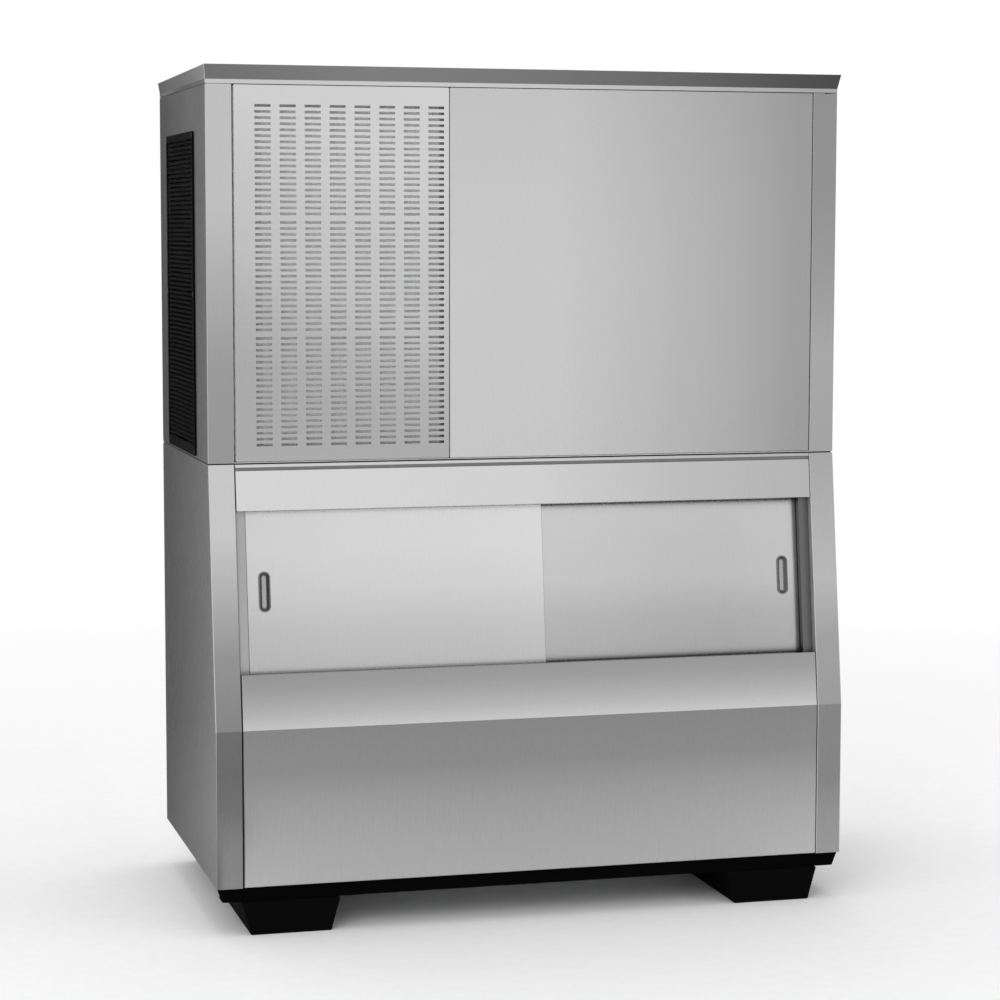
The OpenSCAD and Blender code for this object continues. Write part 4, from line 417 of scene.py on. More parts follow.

# Each sheet is a lit or shaded copy of the brushed steel, with painted shade and painted reflection
# gradients of its own across its face
HEAD_UP = (UP, Z_HEAD, Z_HEAD_TOP)
SLOPE_UP = (UP, Z_KNEE, Z_SEAM)
BASE_UP = (UP, Z_BIN, Z_KNEE)
DOORS_UP = (UP, 0.485, 0.81)
FRONT = (ACROSS, -PANEL_X, PANEL_X)
SHEETS = {
    "vent panel": brushed_steel("vent panel steel", 0.645, painted_shades=[
        ((0.5, 0, 1), 0.6, 1.5, [
            (0.22, 0.64), (0.34, 0.70), (0.46, 0.82), (0.6, 0.87), (0.78, 0.97), (1.0, 1.0)])]),
    "plain panel": brushed_steel("plain panel steel", 0.59, painted_shades=[
        (ACROSS, PLAIN_X0, PANEL_X, [(0.0, 1.0), (0.3, 1.0), (0.55, 0.86), (0.78, 0.73), (0.96, 0.60)]),
        (*HEAD_UP, [(0.0, 0.97), (0.27, 0.99), (0.5, 1.0), (0.73, 0.98), (1.0, 0.93)])]),
    "fascia": brushed_steel("fascia steel", 0.67, lean=SLOPE, painted_shades=[
        (*FRONT, [(0.0, 1.0), (0.25, 0.99), (0.5, 0.97), (0.75, 0.78), (1.0, 0.69)])]),
    "left door": brushed_steel("left door steel", 0.705, lean=SLOPE, painted_shades=[
        (ACROSS, -0.555, 0.025, [(0.0, 0.90), (0.27, 0.94), (0.5, 0.96), (0.73, 0.97), (1.0, 1.0)]),
        (*DOORS_UP, [(0.0, 0.72), (0.27, 0.81), (0.5, 0.94), (0.73, 1.0)])]),
    "right door": brushed_steel("right door steel", 0.62, lean=SLOPE, painted_shades=[
        (ACROSS, -0.025, 0.555, [(0.0, 1.0), (0.25, 0.97), (0.5, 0.91), (0.73, 0.89), (1.0, 0.95)]),
        (*DOORS_UP, [(0.0, 0.70), (0.27, 0.78), (0.5, 0.94), (0.73, 0.96), (1.0, 1.0)])]),
    "sill": brushed_steel("sill steel", 0.59, lean=SLOPE, painted_shades=[
        (*FRONT, [(0.0, 0.95), (0.25, 1.0)]),
        (UP, Z_KNEE, 0.495, [(0.0, 1.0), (0.27, 0.81), (0.5, 0.69), (0.73, 0.59), (1.0, 0.54)])]),
    "lower front": brushed_steel("lower front steel", 0.535, painted_shades=[
        (*BASE_UP, [(0.0, 1.0), (0.27, 0.82), (0.5, 0.67), (0.73, 0.50), (1.0, 0.455)])]),
    "left edge, head": brushed_steel("left edge steel of the head", 0.545, painted_shades=[
        (*HEAD_UP, [(0.0, 0.57), (0.27, 0.61), (0.5, 0.80), (0.68, 0.97), (1.0, 0.97)])]),
    "left edge, slope": brushed_steel("left edge steel of the slope", 0.59, lean=SLOPE, painted_shades=[
        (*SLOPE_UP, [(0.0, 0.41), (0.27, 0.50), (0.5, 0.74), (0.73, 0.98), (1.0, 0.99)])]),
    "left edge, base": brushed_steel("left edge steel of the base", 0.275, painted_shades=[
        (*BASE_UP, [(0.0, 1.0), (0.27, 0.87), (0.5, 0.63), (0.73, 0.55), (1.0, 0.585)])]),
    "right edge, head": brushed_steel("right edge steel of the head", 0.40, painted_shades=[
        (*HEAD_UP, [(0.0, 0.93), (0.27, 1.0), (0.5, 0.84), (0.73, 0.74), (1.0, 0.72)])]),
    "right edge, slope": brushed_steel("right edge steel of the slope", 0.49, lean=SLOPE, painted_shades=[
        (*SLOPE_UP, [(0.0, 0.69), (0.27, 0.74), (0.5, 1.0), (0.73, 0.91), (1.0, 0.81)])]),
    "right edge, base": brushed_steel("right edge steel of the base", 0.35, painted_shades=[
        (*BASE_UP, [(0.0, 1.0), (0.27, 0.87), (0.5, 0.69), (1.0, 0.69)])]),
    "left side, head": brushed_steel("left side steel of the head", 0.51, painted_shades=[
        (INWARD, Y_FACE, Y_BACK, [
            (0.0, 1.0), (0.3, 0.70), (0.55, 0.42), (0.75, 0.24), (0.9, 0.085), (1.0, 0.06)])]),
    "left side, bin": brushed_steel("left side steel of the bin", 0.93, painted_shades=[
        (INWARD, Y_KNEE, Y_BACK, [(0.05, 1.0), (1.0, 0.22)]),
        (UP, Z_BIN, Z_SEAM, [(0.0, 1.0), (0.3, 0.81), (0.55, 0.735), (1.0, 0.69)])]),
    "right side, head": brushed_steel("right side steel of the head", 0.50, painted_shades=[
        (INWARD, Y_FACE, Y_BACK, [(0.0, 1.0), (1.0, 0.8)])]),
    "right side, bin": brushed_steel("right side steel of the bin", 0.50, painted_shades=[
        (INWARD, Y_KNEE, Y_BACK, [(0.0, 1.0), (1.0, 0.8)])]),
    "cover front": brushed_steel("cover front steel", 0.223, 0.4, grain="x", painted_shades=[
        (ACROSS, -HALF_W, HALF_W, [
            (0.0, 0.765), (0.25, 1.0), (0.5, 0.885), (0.75, 0.63), (1.0, 0.335)])]),
    "cover side": brushed_steel("cover side steel", 0.60, 0.4, grain="x", painted_shades=[
        (INWARD, Y_FACE, Y_BACK, [(0.0, 1.0), (1.0, 0.3)])]),
    "cover band": brushed_steel("cover band steel", 0.60, grain="x", painted_shades=[
        (*FRONT, [(0.0, 0.95), (0.3, 1.0), (0.6, 0.92), (1.0, 0.66)])]),
    # Pale steel on the folded edges: painted highlight
    "fold": brushed_steel("folded edges with painted highlight", 0.95, 0.6),
    # Near-black steel on the left fold beside the doors is a painted shadow line; the lighter right
    # fold is painted light
    "left fold": brushed_steel("painted shade of the left fold beside the doors", 0.13, 0.5),
    "right fold": brushed_steel("painted light of the right fold beside the doors", 0.75, 0.5),
    # Dark steel on the left door's free edge: a painted shadow line where it passes over the right door
    "door edge": brushed_steel("painted shadow line on the left door's free edge", 0.22, 0.5),
    "rail": brushed_steel("rail steel", 0.62, grain="x", lean=SLOPE, painted_shades=[
        (*FRONT, [(0.0, 1.0), (0.5, 0.97), (0.75, 0.82), (1.0, 0.72)])]),
    # Dark steel in the sunk lip under the rail: painted shade in the groove
    "groove": brushed_steel("groove steel with painted shade", 0.20, 0.4, grain="x", lean=SLOPE),
}

SLOT_OF = {entry["node"]: entry["material_slot"] for entry in frame["record"]["subparts"]}
for node_name, node in NODES.items():
    node.data.materials.clear()
    node.data.materials.append(FINISHES[SLOT_OF[node_name]])


# Pieces

def lay_on_slope(piece):
    """Takes a piece to the sloped front, drawn upright: X across, Y inwards and Z up from the knee."""
    alone(piece)
    piece.rotation_euler = (-SLOPE, 0, 0)
    piece.location = (0, Y_KNEE, Z_KNEE)
    bpy.ops.object.transform_apply(location=True, rotation=True, scale=True)
    return piece


def show(piece, finish, node, body="cabinet", others=()):
    """Gives a finished piece its looks and puts it in place of its plain solid.
    Each of the others is a finish and a test that picks the faces that get it."""
    piece.data.materials.clear()
    piece.data.materials.append(finish)
    for index, (other, test) in enumerate(others, start=1):
        piece.data.materials.append(other)
        for face in piece.data.polygons:
            if test(face.center, face.normal):
                face.material_index = index
    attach(piece, body)
    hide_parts(node)
    return piece


def cut_lines(piece, cuts):
    """Adds edge lines where planes cross a piece; each cut is a point and a normal."""
    for point, normal in cuts:
        pick(piece, "FACE", anywhere)
        bpy.ops.mesh.bisect(plane_co=point, plane_no=normal)
        done()


def open_window(piece, low, high):
    """Cuts a window out of a sheet: low and high agree on the axis that it faces."""
    cuts = []
    for axis in range(3):
        if not near(low[axis], high[axis]):
            normal = [0, 0, 0]
            normal[axis] = 1
            cuts += [(low, normal), (high, normal)]
    cut_lines(piece, cuts)
    room = 0.001
    delete_faces(piece, lambda c, n: all(a - room < v < b + room for v, a, b in zip(c, low, high)))


def front_y(z):
    return Y_KNEE + max(0.0, z - Z_KNEE) * math.tan(SLOPE)


def bin_side(name, side):
    """Side panel of the bin, folded round the front and into the door opening."""
    x, fold_in, top_fold = side * HALF_W, 0.0455, 0.0497
    piece = plate(name, (x, Y_KNEE, Z_BIN), (x, Y_BACK, Z_SEAM), "x")
    cut_away(piece, (x, Y_KNEE, Z_KNEE), -INTO_SLOPE)
    cut_lines(piece, [((x, 0, Z_KNEE), UP)])
    fold(piece, lambda c, d: near(c.y, front_y(c.z)) and abs(d.z) > 0.5,
         (-side * STRIPE, 0, 0), (0, fold_in, 0))
    fold(piece, lambda c, d: near(c.z, Z_SEAM) and near(c.x, x) and abs(d.y) > 0.9,
         (-side * top_fold, 0, 0))
    return finish_sheet(piece, (side, 0, 0))


def head_side(name, side):
    """Side panel of the head; the left one has a window behind the grille."""
    x, top_fold = side * HALF_W, 0.0265
    window_low, window_high = (x, -0.106, 0.905), (x, 0.208, 1.496)
    piece = plate(name, (x, Y_FACE, Z_HEAD), (x, Y_BACK, Z_HEAD_TOP), "x")
    if side < 0:
        open_window(piece, window_low, window_high)
    fold(piece, lambda c, d: near(c.y, Y_FACE) and abs(d.z) > 0.5,
         (-side * STRIPE, 0, 0), (0, HEAD_TURN, 0))
    fold(piece, lambda c, d: near(c.z, Z_HEAD_TOP) and near(c.x, x) and c.y > -0.2
         and abs(d.y) > 0.9, (-side * top_fold, 0, 0))
    return finish_sheet(piece, (side, 0, 0))


PANEL_Z = Z_HEAD + SHEET + 0.0003


def front_blank(name, x0, x1):
    """Flat sheet of a front panel of the head."""
    return plate(name, (x0, Y_FACE, PANEL_Z), (x1, Y_FACE, Z_HEAD_TOP), "y")


def fold_tray(piece, x0, x1):
    """Folds the four edges of a front panel back."""
    turn = (0, HEAD_TURN, 0)
    fold(piece, lambda c, d: near(c.x, x0) or near(c.x, x1), turn)
    fold(piece, lambda c, d: near(c.y, Y_FACE)
         and (near(c.z, PANEL_Z) or near(c.z, Z_HEAD_TOP)), turn)


def plain_panel():
    """Front panel of the head beside the vent panel."""
    piece = front_blank("front_panel_sheet", PLAIN_X0, PANEL_X)
    fold_tray(piece, PLAIN_X0, PANEL_X)
    return finish_sheet(piece, (0, -1, 0))


def vent_panel():
    """Front panel of the head with three groups of punched slots in eight columns."""
    slot_w, slot_h, columns, rows, groups = 0.0305, 0.005, 8, 19, 3
    column_pitch, row_pitch, group_pitch = 0.0474, 0.0111, 0.016
    first_x, first_z = VENT_X0 + 0.0545, Z_HEAD_TOP - 0.039
    group_h = (rows - 1) * row_pitch + group_pitch
    middles_x = [first_x + i * column_pitch for i in range(columns)]
    middles_z = [first_z - g * group_h - r * row_pitch for g in range(groups) for r in range(rows)]
    piece = front_blank("vent_panel_sheet", VENT_X0, VENT_X1)
    across = [(x + way * slot_w / 2, 0, 0) for x in middles_x for way in (-1, 1)]
    along = [(0, 0, z + way * slot_h / 2) for z in middles_z for way in (-1, 1)]
    cut_lines(piece, [(point, ACROSS) for point in across] + [(point, UP) for point in along])
    delete_faces(piece, lambda c, n: min(abs(c.x - x) for x in middles_x) < slot_w / 2
                 and min(abs(c.z - z) for z in middles_z) < slot_h / 2)
    fold_tray(piece, VENT_X0, VENT_X1)
    return finish_sheet(piece, (0, -1, 0))


def bin_front_panel():
    """Lower front, folded at the knee into the sill."""
    turn = (0, BIN_TURN, 0)
    piece = plate("bin_front_panel_sheet", (-PANEL_X, Y_KNEE, Z_BIN), (PANEL_X, Y_KNEE, Z_KNEE), "y")
    fold(piece, lambda c, d: near(c.z, Z_KNEE) and abs(d.x) > 0.9,
         UP_SLOPE * SILL_TOP, INTO_SLOPE * BIN_TURN)
    fold(piece, lambda c, d: near(c.z, Z_BIN) and abs(d.x) > 0.9, turn)
    fold(piece, lambda c, d: near(abs(c.x), PANEL_X) and abs(d.z) > 0.5, turn)
    return finish_sheet(piece, (0, -1, 0), bend=0.003)


def bin_fascia():
    """Sloped panel above the doors."""
    turn = (0, BIN_TURN, 0)
    piece = plate("bin_fascia_sheet", (-PANEL_X, 0, FASCIA_LOW), (PANEL_X, 0, FASCIA_TOP), "y")
    fold(piece, lambda c, d: near(c.z, FASCIA_LOW) or near(c.z, FASCIA_TOP), turn)
    fold(piece, lambda c, d: near(abs(c.x), PANEL_X) and abs(d.z) > 0.5, turn)
    return lay_on_slope(finish_sheet(piece, (0, -1, 0), bend=0.0018))


def top_cover():
    """Cover with an upright lip that flares out at the front and the sides."""
    front_flare, side_flare, rear_fall, rim = 0.011, 0.0035, 0.006, 0.022
    piece = block("top_cover_sheet", (-HALF_W, Y_FACE, Z_COVER), (HALF_W, Y_BACK, Z_TOP))
    cut_lines(piece, [((0, 0, Z_FLARE), UP)])
    above = Z_FLARE + 0.001
    shift_points(piece, lambda c, n: c.z > above and c.y < 0, (0, -front_flare, 0))
    shift_points(piece, lambda c, n: c.z > above and c.x < 0, (-side_flare, 0, 0))
    shift_points(piece, lambda c, n: c.z > above and c.x > 0, (side_flare, 0, 0))
    pick(piece, "FACE", lambda c, n: n.z < -0.9)
    bpy.ops.mesh.inset(thickness=rim)
    bpy.ops.mesh.delete(type="FACE")
    done()
    shift_points(piece, lambda c, n: near(c.z, Z_TOP) and c.y > 0, (0, 0, -rear_fall))
    return finish_sheet(piece, (0, 0, 1), bend=0.0014)


def top_rail():
    """Bright rail along the top of the bin, with the sunk lip of the groove under it."""
    groove_h, step, top_fold = 0.0050, 0.004, 0.044
    low, y = Z_SEAM - RAIL_H, front_y(Z_SEAM)
    piece = plate("bin_top_rail_sheet", (-PANEL_X, y, low), (PANEL_X, y, Z_SEAM), "y")
    shift_points(piece, lambda c, n: near(c.z, low), (0, front_y(low) - y, 0))
    fold(piece, lambda c, d: near(c.z, low) and abs(d.x) > 0.9,
         INTO_SLOPE * step, UP_SLOPE * -groove_h)
    fold(piece, lambda c, d: near(c.z, Z_SEAM) and abs(d.x) > 0.9, (0, top_fold, 0))
    return finish_sheet(piece, (0, -1, 0), bend=0.0008)


def oblong_stick(name, x, along, length, width, depth0, depth1, corners=40):
    """A stick with round ends, drawn upright for the slope, from one depth to another."""
    bpy.ops.object.select_all(action="DESELECT")
    bpy.ops.mesh.primitive_cylinder_add(vertices=corners, radius=width / 2, depth=depth1 - depth0,
                                        location=(x, (depth0 + depth1) / 2, along),
                                        rotation=(math.pi / 2, math.pi / corners, 0))
    piece = settle(name)
    reach = (length - width) / 2
    for way in (-1, 1):
        shift_points(piece, lambda c, n: way * (c.z - along) > 1e-6, (0, 0, way * reach))
    return piece


def carve(piece, cutter):
    """Takes the cutter's shape out of a piece."""
    alone(piece)
    hole = piece.modifiers.new("hole", "BOOLEAN")
    hole.operation, hole.solver, hole.object = "DIFFERENCE", "EXACT", cutter
    bpy.ops.object.modifier_apply(modifier="hole")
    bpy.data.objects.remove(cutter)
    return piece


# The doors' two ends up the slope, and the pull midway between them
DOOR_S0, DOOR_S1 = 0.0959, 0.4239
PULL_ALONG = (DOOR_S0 + DOOR_S1) / 2
PULL_LENGTH, PULL_WIDTH, PULL_HOLE_RIM = 0.077, 0.023, 0.0025
PULL_FLOOR = 0.0053
DOORS = {
    "left": {"x0": -0.5547, "x1": 0.0253, "depth": 0.0200, "pull": -0.5217},
    "right": {"x0": -0.0253, "x1": 0.5547, "depth": 0.0332, "pull": 0.5217},
}


def door_skin(side):
    """Outer skin of a sliding door, its four edges turned in, with the hole of the pull."""
    door = DOORS[side]
    x0, x1, y, turn = door["x0"], door["x1"], door["depth"], (0, 0.011, 0)
    piece = plate(f"door_{side}_sheet", (x0, y, DOOR_S0), (x1, y, DOOR_S1), "y")
    fold(piece, lambda c, d: near(c.x, x0) or near(c.x, x1), turn)
    fold(piece, lambda c, d: near(c.y, y) and (near(c.z, DOOR_S0) or near(c.z, DOOR_S1)), turn)
    finish_sheet(piece, (0, -1, 0), bend=0.0014, thickness=0.001)
    carve(piece, oblong_stick("hole", door["pull"], PULL_ALONG, PULL_LENGTH - 2 * PULL_HOLE_RIM,
                              PULL_WIDTH - 2 * PULL_HOLE_RIM, y - 0.01, y + 0.006))
    smooth()
    return lay_on_slope(piece)


def finger_pull(side):
    """Recessed pull: a rolled rim proud of the door round a cup with a soft floor."""
    door = DOORS[side]
    y = door["depth"]
    piece = oblong_stick(f"door_{side}_pull_cup", door["pull"], PULL_ALONG, PULL_LENGTH, PULL_WIDTH,
                         y - 0.001, y - 0.0001)
    # From the rim's outer edge to the floor: how far each step goes in, and how much deeper
    steps = ((0.0006, -0.0003), (0.0018, 0.0), (0.0006, 0.0009), (0.0035, 0.0050), (0.0012, 0.0008))
    for thickness, depth in steps:
        pick(piece, "FACE", lambda c, n: n.y < -0.7 and near(c.x, door["pull"], 0.001)
             and near(c.z, PULL_ALONG, 0.001))
        bpy.ops.mesh.inset(thickness=thickness)
        bpy.ops.transform.translate(value=(0, depth, 0))
        done()
    delete_faces(piece, lambda c, n: n.y > 0.7)
    thicken(piece, 0.0006)
    smooth(45)
    return lay_on_slope(piece)


def jamb(name, side):
    """Post beside the doors, from the lower track up to the top of the bin."""
    outer_x, front, back, foot, beyond, top = 0.5747, 0.0183, 0.0459, 0.0869, 0.52, 0.884
    x0, x1 = sorted((side * OPENING_X, side * outer_x))
    piece = lay_on_slope(block(name, (x0, front, foot), (x1, back, beyond)))
    cut_away(piece, (0, 0, top), UP, filled=True)
    return round_edges(piece, 0.0009, rounds=2)


def runner(name, x):
    """A hollow-ended runner that narrows towards its sole."""
    y0, y1, top, sole, half, rim, sunk = -0.321, 0.321, 0.064, 0.0775, 0.095, 0.006, 0.002
    piece = block(name, (x - half, y0, 0), (x + half, y1, top))
    pick(piece, "VERT", lambda c, n: near(c.z, 0))
    bpy.ops.transform.resize(value=(sole / half, 1, 1), center_override=(x, 0, 0))
    done()
    for way in (-1, 1):
        pick(piece, "FACE", lambda c, n: n.y * way > 0.9)
        bpy.ops.mesh.inset(thickness=rim)
        bpy.ops.transform.translate(value=(0, -way * sunk, 0))
        done()
    return round_edges(piece, 0.0025)


def seam_gasket(name, x, y0, y1, z0, z1, width):
    """Flat rubber ring squeezed between two casings."""
    piece = plate(name, (-x, y0, z1), (x, y1, z1), "z")
    open_window(piece, (-x + width, y0 + width, z1), (x - width, y1 - width, z1))
    thicken(piece, z1 - z0)
    return round_edges(piece, min(0.0004, (z1 - z0) / 4), rounds=2)


def side_grille():
    """Louvred grille: a frame with round corners and a slat every 8.8 mm."""
    x, proud, corner, rim, sill = -HALF_W, 0.003, 0.007, 0.014, 0.0205
    y0, y1, z0, z1 = -0.120, 0.222, 0.891, 1.510
    frame_ring = plate("side_grille_frame", (x - proud, y0, z0), (x - proud, y1, z1), "x")
    pick(frame_ring, "VERT", anywhere)
    bpy.ops.mesh.bevel(offset=corner, segments=5, affect="VERTICES")
    done()
    open_window(frame_ring, (x - proud, y0 + rim, z0 + sill), (x - proud, y1 - rim, z1 - rim))
    if frame_ring.data.polygons[0].normal.x > 0:
        turn_over(frame_ring)
    thicken(frame_ring, proud)
    round_edges(frame_ring, 0.0009, crease=40)

    slats, pitch = 66, 0.0088
    first = z0 + sill + (z1 - z0 - sill - rim - (slats - 1) * pitch) / 2
    lip, tuck = x - 0.0026, 0.001
    slat = plate("side_grille_slats", (lip, y0 + rim - tuck, first - 0.0016),
                 (lip, y1 - rim + tuck, first + 0.0002), "x")
    fold(slat, lambda c, d: c.z > first and abs(d.y) > 0.9,
         (0.0010, 0, 0.0006), (0.0014, 0, 0.0020), (0.0030, 0, 0.0030))
    finish_sheet(slat, (-1, 0, 0), bend=0.0004, thickness=0.0007, rounds=1)
    alone(slat)
    rows = slat.modifiers.new("rows", "ARRAY")
    rows.count, rows.use_relative_offset, rows.use_constant_offset = slats, False, True
    rows.constant_offset_displace = (0, 0, pitch)
    bpy.ops.object.modifier_apply(modifier="rows")
    return join(frame_ring, slat)


def air_filter():
    """Filter behind the vent panel: a frame with cross bars over a pleated medium."""
    x0, x1, z0, z1 = -0.5985, -0.1515, 0.8915, 1.5882
    front, deep, rim, bar, columns, rows = -0.2374, 0.0067, 0.012, 0.003, 6, 10
    grid = plate("air_filter_frame", (x0, front, z0), (x1, front, z1), "y")
    wide, high = (x1 - x0 - 2 * rim) / columns, (z1 - z0 - 2 * rim) / rows
    across = [x0 + rim + i * wide + way * bar / 2 for i in range(columns + 1) for way in (-1, 1)]
    along = [z0 + rim + i * high + way * bar / 2 for i in range(rows + 1) for way in (-1, 1)]
    cut_lines(grid, [((x, 0, 0), ACROSS) for x in across[1:-1]]
              + [((0, 0, z), UP) for z in along[1:-1]])
    delete_faces(grid, lambda c, n: any(a < c.x < b for a, b in zip(across[1::2], across[2::2]))
                 and any(a < c.z < b for a, b in zip(along[1::2], along[2::2])))
    finish_sheet(grid, (0, -1, 0), thickness=deep / 3)

    pleats, edge, y = 50, rim / 2, front + deep / 3
    medium = plate("air_filter_medium", (x0 + edge, y, z0 + edge), (x1 - edge, y, z1 - edge), "y")
    step = (x1 - x0 - rim) / (2 * pleats)
    cut_lines(medium, [((x0 + edge + i * step, 0, 0), ACROSS) for i in range(1, 2 * pleats)])
    shift_points(medium, lambda c, n: round((c.x - x0 - edge) / step) % 2 == 1, (0, deep / 8, 0))
    finish_sheet(medium, (0, -1, 0), bend=0.0004, thickness=0.0006, rounds=1)
    return join(grid, medium)


def bin_liner():
    """One-piece moulded liner with wide round corners and the door opening."""
    z0, back, wall_t, depth, corner = 0.142, 0.275, 0.003, 0.0462, 0.022
    open_x = OPENING_X - 0.002
    front = Y_KNEE + depth
    knee_z = Z_KNEE - depth * math.tan(SLOPE / 2)
    piece = block("bin_liner_shell", (-INNER_X, front, z0), (INNER_X, back, Z_SEAM))
    cut_lines(piece, [((0, 0, knee_z), UP)])
    lean = (Z_SEAM - knee_z) * math.tan(SLOPE)
    shift_points(piece, lambda c, n: near(c.z, Z_SEAM) and c.y < 0, (0, lean, 0))
    delete_faces(piece, lambda c, n: n.z > 0.9)
    bevel(piece, corner, rounds=6, crease=30)
    low, high = on_slope(0, depth, SILL_TOP), on_slope(0, depth, FASCIA_LOW)
    cut_lines(piece, [(low, UP_SLOPE), (high, UP_SLOPE),
                      ((-open_x, 0, 0), ACROSS), ((open_x, 0, 0), ACROSS)])
    delete_faces(piece, lambda c, n: abs(c.x) < open_x and c.y < 0 and n.y < -0.9
                 and low.z < c.z < high.z)
    thicken(piece, wall_t)
    smooth()
    return piece


def faces_front(c, n):
    return abs(n.x) < 0.5


def behind_slope(c):
    """How far a point lies behind the plane of the sloped front."""
    return (c - on_slope(c.x, 0, 0)).dot(INTO_SLOPE)


def in_groove(c, n):
    """Picks the faces that get the painted shade of the groove: the lip under the top rail, and the
    inner part of the step that leads back to it.
    """
    return (c.z < Z_SEAM - RAIL_H - 0.0003
            or behind_slope(c) > 0.0022 and c.z < Z_SEAM - 0.004)


# Each side sheet gets painted shade and reflection tones on its front faces and base, and a painted
# shadow or highlight on its folds
for side, way in SIDES:
    sheet = bin_side(f"bin_side_{side}_sheet", way)
    show(sheet, SHEETS[f"{side} side, bin"], f"bin_side_{side}", others=[
        (SHEETS[f"{side} edge, slope"], faces_front),
        (SHEETS[f"{side} edge, base"], lambda c, n: faces_front(c, n) and c.z < Z_KNEE),
        (SHEETS[f"{side} fold"], lambda c, n: abs(c.x) < INNER_X + SHEET and abs(n.x) > 0.6)])
    sheet = head_side(f"head_side_{side}_sheet", way)
    show(sheet, SHEETS[f"{side} side, head"], f"head_side_{side}", others=[
        (SHEETS[f"{side} edge, head"], faces_front),
        (SHEETS["fold"], lambda c, n: abs(c.x) < INNER_X + 0.0001 and abs(n.x) > 0.9)])
# The left folds of the front panels get the painted highlight of the folds
show(vent_panel(), SHEETS["vent panel"], "vent_panel", others=[
    (SHEETS["fold"], lambda c, n: n.x < -0.9 and c.x < -0.57)])
show(plain_panel(), SHEETS["plain panel"], "front_panel", others=[
    (SHEETS["fold"], lambda c, n: n.x < -0.9 and c.x < 0)])
show(bin_front_panel(), SHEETS["lower front"], "bin_front_panel", others=[
    (SHEETS["sill"], lambda c, n: c.z > Z_KNEE)])
show(bin_fascia(), SHEETS["fascia"], "bin_fascia")
# The cover's front, sides and band each get their own painted shade and reflection tones; its lip sides
# take the head side's
band_top = Z_FLARE - 0.0005
show(top_cover(), SHEETS["cover front"], "top_cover", others=[
    (SHEETS["cover side"], lambda c, n: n.x < -0.5 and c.z > band_top),
    (SHEETS["left side, head"], lambda c, n: n.x < -0.5 and c.z < band_top),
    (SHEETS["cover band"], lambda c, n: n.y < -0.9 and c.z < band_top)])
show(top_rail(), SHEETS["rail"], "bin_top_rail", others=[(SHEETS["groove"], in_groove)])
# The left door's free edge gets a painted shadow line
for side in DOORS:
    show(door_skin(side), SHEETS[f"{side} door"], f"door_{side}", f"{side}_door", others=[
        (SHEETS["door edge"], lambda c, n: n.x > 0.3 and 0.02 < c.x < 0.1)])
    floor_depth = DOORS[side]["depth"] + PULL_FLOOR
    show(finger_pull(side), FINISHES["pull_chrome"], f"door_{side}_pull", f"{side}_door", others=[
        (FINISHES["pull_floor"], lambda c, n: behind_slope(c) > floor_depth)])
for side, way in SIDES:
    show(jamb(f"door_jamb_{side}", way), FINISHES["jamb_steel"], "door_jambs")
for side, way in SIDES:
    show(runner(f"runner_{side}", way * RUNNER_X), FINISHES["skid_plastic"], "skids")
low_ring = seam_gasket("seam_gasket_low", x=0.6235, y0=-0.254, y1=0.3235,
                       z0=Z_SEAM, z1=Z_HEAD, width=0.024)
show(low_ring, FINISHES["gasket_rubber"], "seam_gaskets")
high_ring = seam_gasket("seam_gasket_high", x=0.622, y0=-0.2397, y1=0.305,
                        z0=Z_HEAD_TOP, z1=1.593, width=0.022)
show(high_ring, FINISHES["gasket_rubber"], "seam_gaskets")
show(side_grille(), FINISHES["black_plastic"], "side_grille")
show(air_filter(), FINISHES["filter_mesh"], "air_filter")
show(bin_liner(), FINISHES["liner_white"], "bin_liner")


# Floor, light and camera

def floor_finish(near_edge, reach):
    """Pale floor that fades into the white background between two distances from the machine."""
    finish, nodes, links, shader = start_finish("pale floor", 0.0, 0.9)
    place = nodes.new("ShaderNodeTexCoord")
    length = nodes.new("ShaderNodeVectorMath")
    length.operation = "LENGTH"
    links.new(place.outputs["Object"], length.inputs[0])
    far = spread(nodes, links, length.outputs["Value"], near_edge, reach)
    speckle = noise(nodes, links, (40.0,) * 3, 3.0, 0.6)
    links.new(ramp(nodes, links, speckle, [(0.3, 0.90), (0.7, 0.93)]), shader.inputs["Base Color"])
    white = nodes.new("ShaderNodeEmission")
    white.inputs["Strength"].default_value = 1.0
    mix = nodes.new("ShaderNodeMixShader")
    links.new(far, mix.inputs["Fac"])
    links.new(shader.outputs["BSDF"], mix.inputs[1])
    links.new(white.outputs["Emission"], mix.inputs[2])
    links.new(mix.outputs["Shader"], nodes["Material Output"].inputs["Surface"])
    return finish


bpy.ops.object.select_all(action="DESELECT")
bpy.ops.mesh.primitive_circle_add(vertices=64, radius=30, fill_type="NGON")
floor = settle("floor")
floor.data.materials.append(floor_finish(1.2, 4.0))


def softbox(name, place, aim, width, height, power):
    """A soft light that the steel doesn't mirror."""
    bpy.ops.object.select_all(action="DESELECT")
    bpy.ops.object.light_add(type="AREA", location=place)
    lamp = bpy.context.object
    lamp.name = name
    lamp.data.shape = "RECTANGLE"
    lamp.data.size, lamp.data.size_y = width, height
    lamp.data.energy = power
    toward = Vector(aim) - Vector(place)
    lamp.rotation_mode = "QUATERNION"
    lamp.rotation_quaternion = toward.to_track_quat("-Z", "Y")
    lamp.visible_glossy = False


def flag(name, low, high, facing):
    """A dark card beside the machine that shows only as a shade in its polished sides."""
    card = plate(name, low, high, facing)
    card.data.materials.append(coated(name + " cloth", (0.21, 0.21, 0.21), rough=0.9))
    for ray in ("camera", "diffuse", "shadow", "transmission", "volume_scatter"):
        setattr(card, "visible_" + ray, False)


flag("left flag", (-2.6, 1.7, 0.02), (-0.70, 1.7, 2.6), "y")
flag("left floor flag", (-2.6, -0.9, 0.02), (-0.64, 1.7, 0.02), "z")
softbox("key softbox", (-3.4, -5.2, 3.6), (0, 0, 0.9), 2.6, 2.6, 80)
softbox("fill softbox", (4.2, -4.6, 2.6), (0, 0, 0.9), 2.4, 2.4, 30)
softbox("top softbox", (0, 0.4, 4.6), (0, 0, 1.0), 2.6, 2.6, 50)


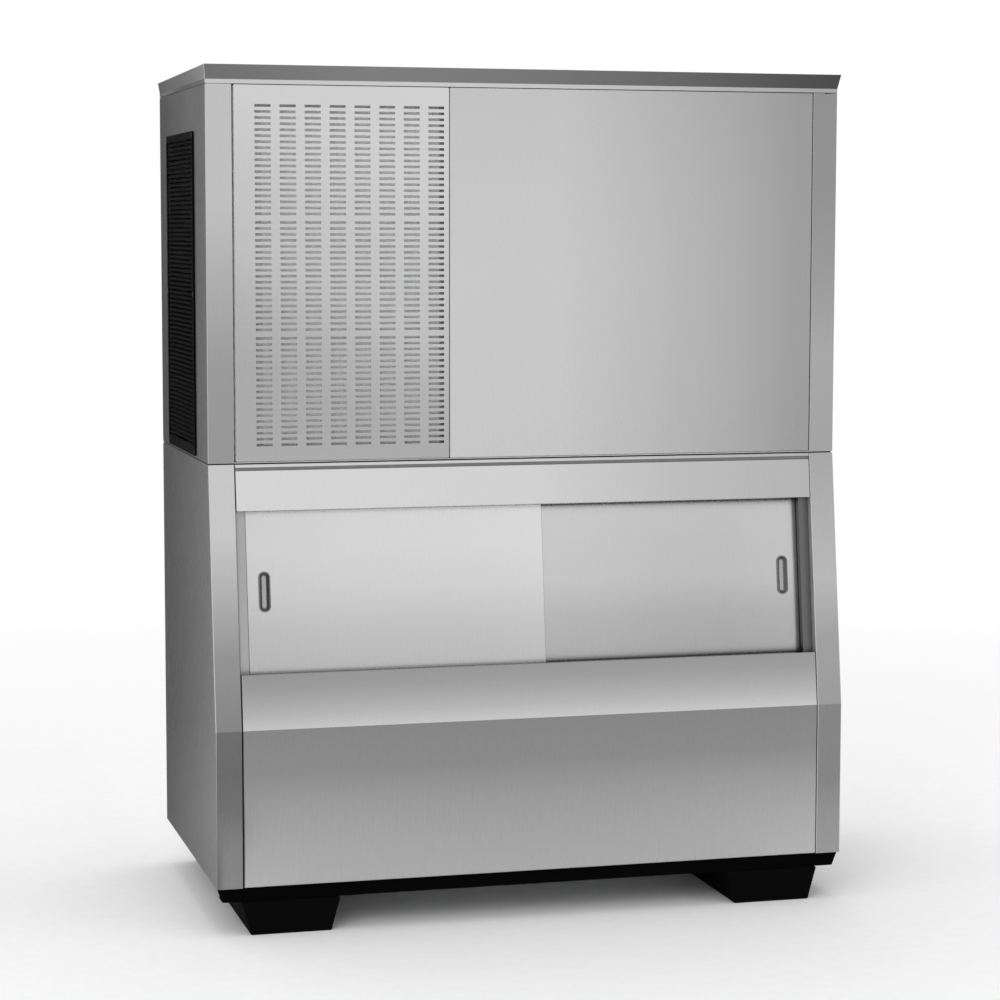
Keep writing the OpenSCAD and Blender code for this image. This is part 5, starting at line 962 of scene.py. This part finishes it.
def studio():
    """White behind the machine and in its steel; a soft light, brighter on the left and above."""
    world = bpy.data.worlds.new("studio")
    bpy.context.scene.world = world
    world.use_nodes = True
    nodes, links = world.node_tree.nodes, world.node_tree.links
    place = nodes.new("ShaderNodeTexCoord")
    axes = nodes.new("ShaderNodeSeparateXYZ")
    links.new(place.outputs["Generated"], axes.inputs["Vector"])
    across = ramp(nodes, links, spread(nodes, links, axes.outputs["X"], -1, 1),
                  [(0.0, 0.92), (0.5, 1.0), (0.56, 0.98), (0.70, 0.66), (1.0, 0.60)])
    up = ramp(nodes, links, spread(nodes, links, axes.outputs["Z"], -1, 1),
              [(0.42, 0.84), (0.52, 0.94), (0.6, 1.0), (1.0, 0.92)])
    light = nodes["Background"]
    links.new(times(nodes, links, across, up), light.inputs["Color"])
    light.inputs["Strength"].default_value = 1.0
    white = nodes.new("ShaderNodeBackground")
    white.inputs["Color"].default_value = (1, 1, 1, 1)
    path = nodes.new("ShaderNodeLightPath")
    seen = path.outputs["Is Camera Ray"]
    for ray in ("Is Glossy Ray", "Is Transmission Ray"):
        either = nodes.new("ShaderNodeMath")
        either.operation = "MAXIMUM"
        links.new(seen, either.inputs[0])
        links.new(path.outputs[ray], either.inputs[1])
        seen = either.outputs["Value"]
    mix = nodes.new("ShaderNodeMixShader")
    links.new(seen, mix.inputs["Fac"])
    links.new(light.outputs["Background"], mix.inputs[1])
    links.new(white.outputs["Background"], mix.inputs[2])
    links.new(mix.outputs["Shader"], nodes["World Output"].inputs["Surface"])


studio()

# Where the camera of the photograph stood, how it was turned, and its lens on a 36 mm sensor
CAMERA_AT = (-1.426, -5.299, 1.323)
YAW, PITCH, ROLL = math.radians(15.171), math.radians(-5.646), math.radians(0.103)
LENS, SENSOR = 98.13, 36
bpy.ops.object.select_all(action="DESELECT")
bpy.ops.object.camera_add(location=CAMERA_AT)
camera = bpy.context.object
camera.name = "camera"
camera.data.lens = LENS
camera.data.sensor_width = SENSOR
camera.data.sensor_fit = "HORIZONTAL"
camera.data.clip_start, camera.data.clip_end = 0.1, 100
ahead = Vector((math.sin(YAW) * math.cos(PITCH), math.cos(YAW) * math.cos(PITCH), math.sin(PITCH)))
level = ahead.to_track_quat("-Z", "Y")
camera.rotation_mode = "QUATERNION"
camera.rotation_quaternion = level @ Matrix.Rotation(ROLL, 4, "Z").to_quaternion()
bpy.context.scene.camera = camera
bpy.context.scene.view_settings.view_transform = "Standard"
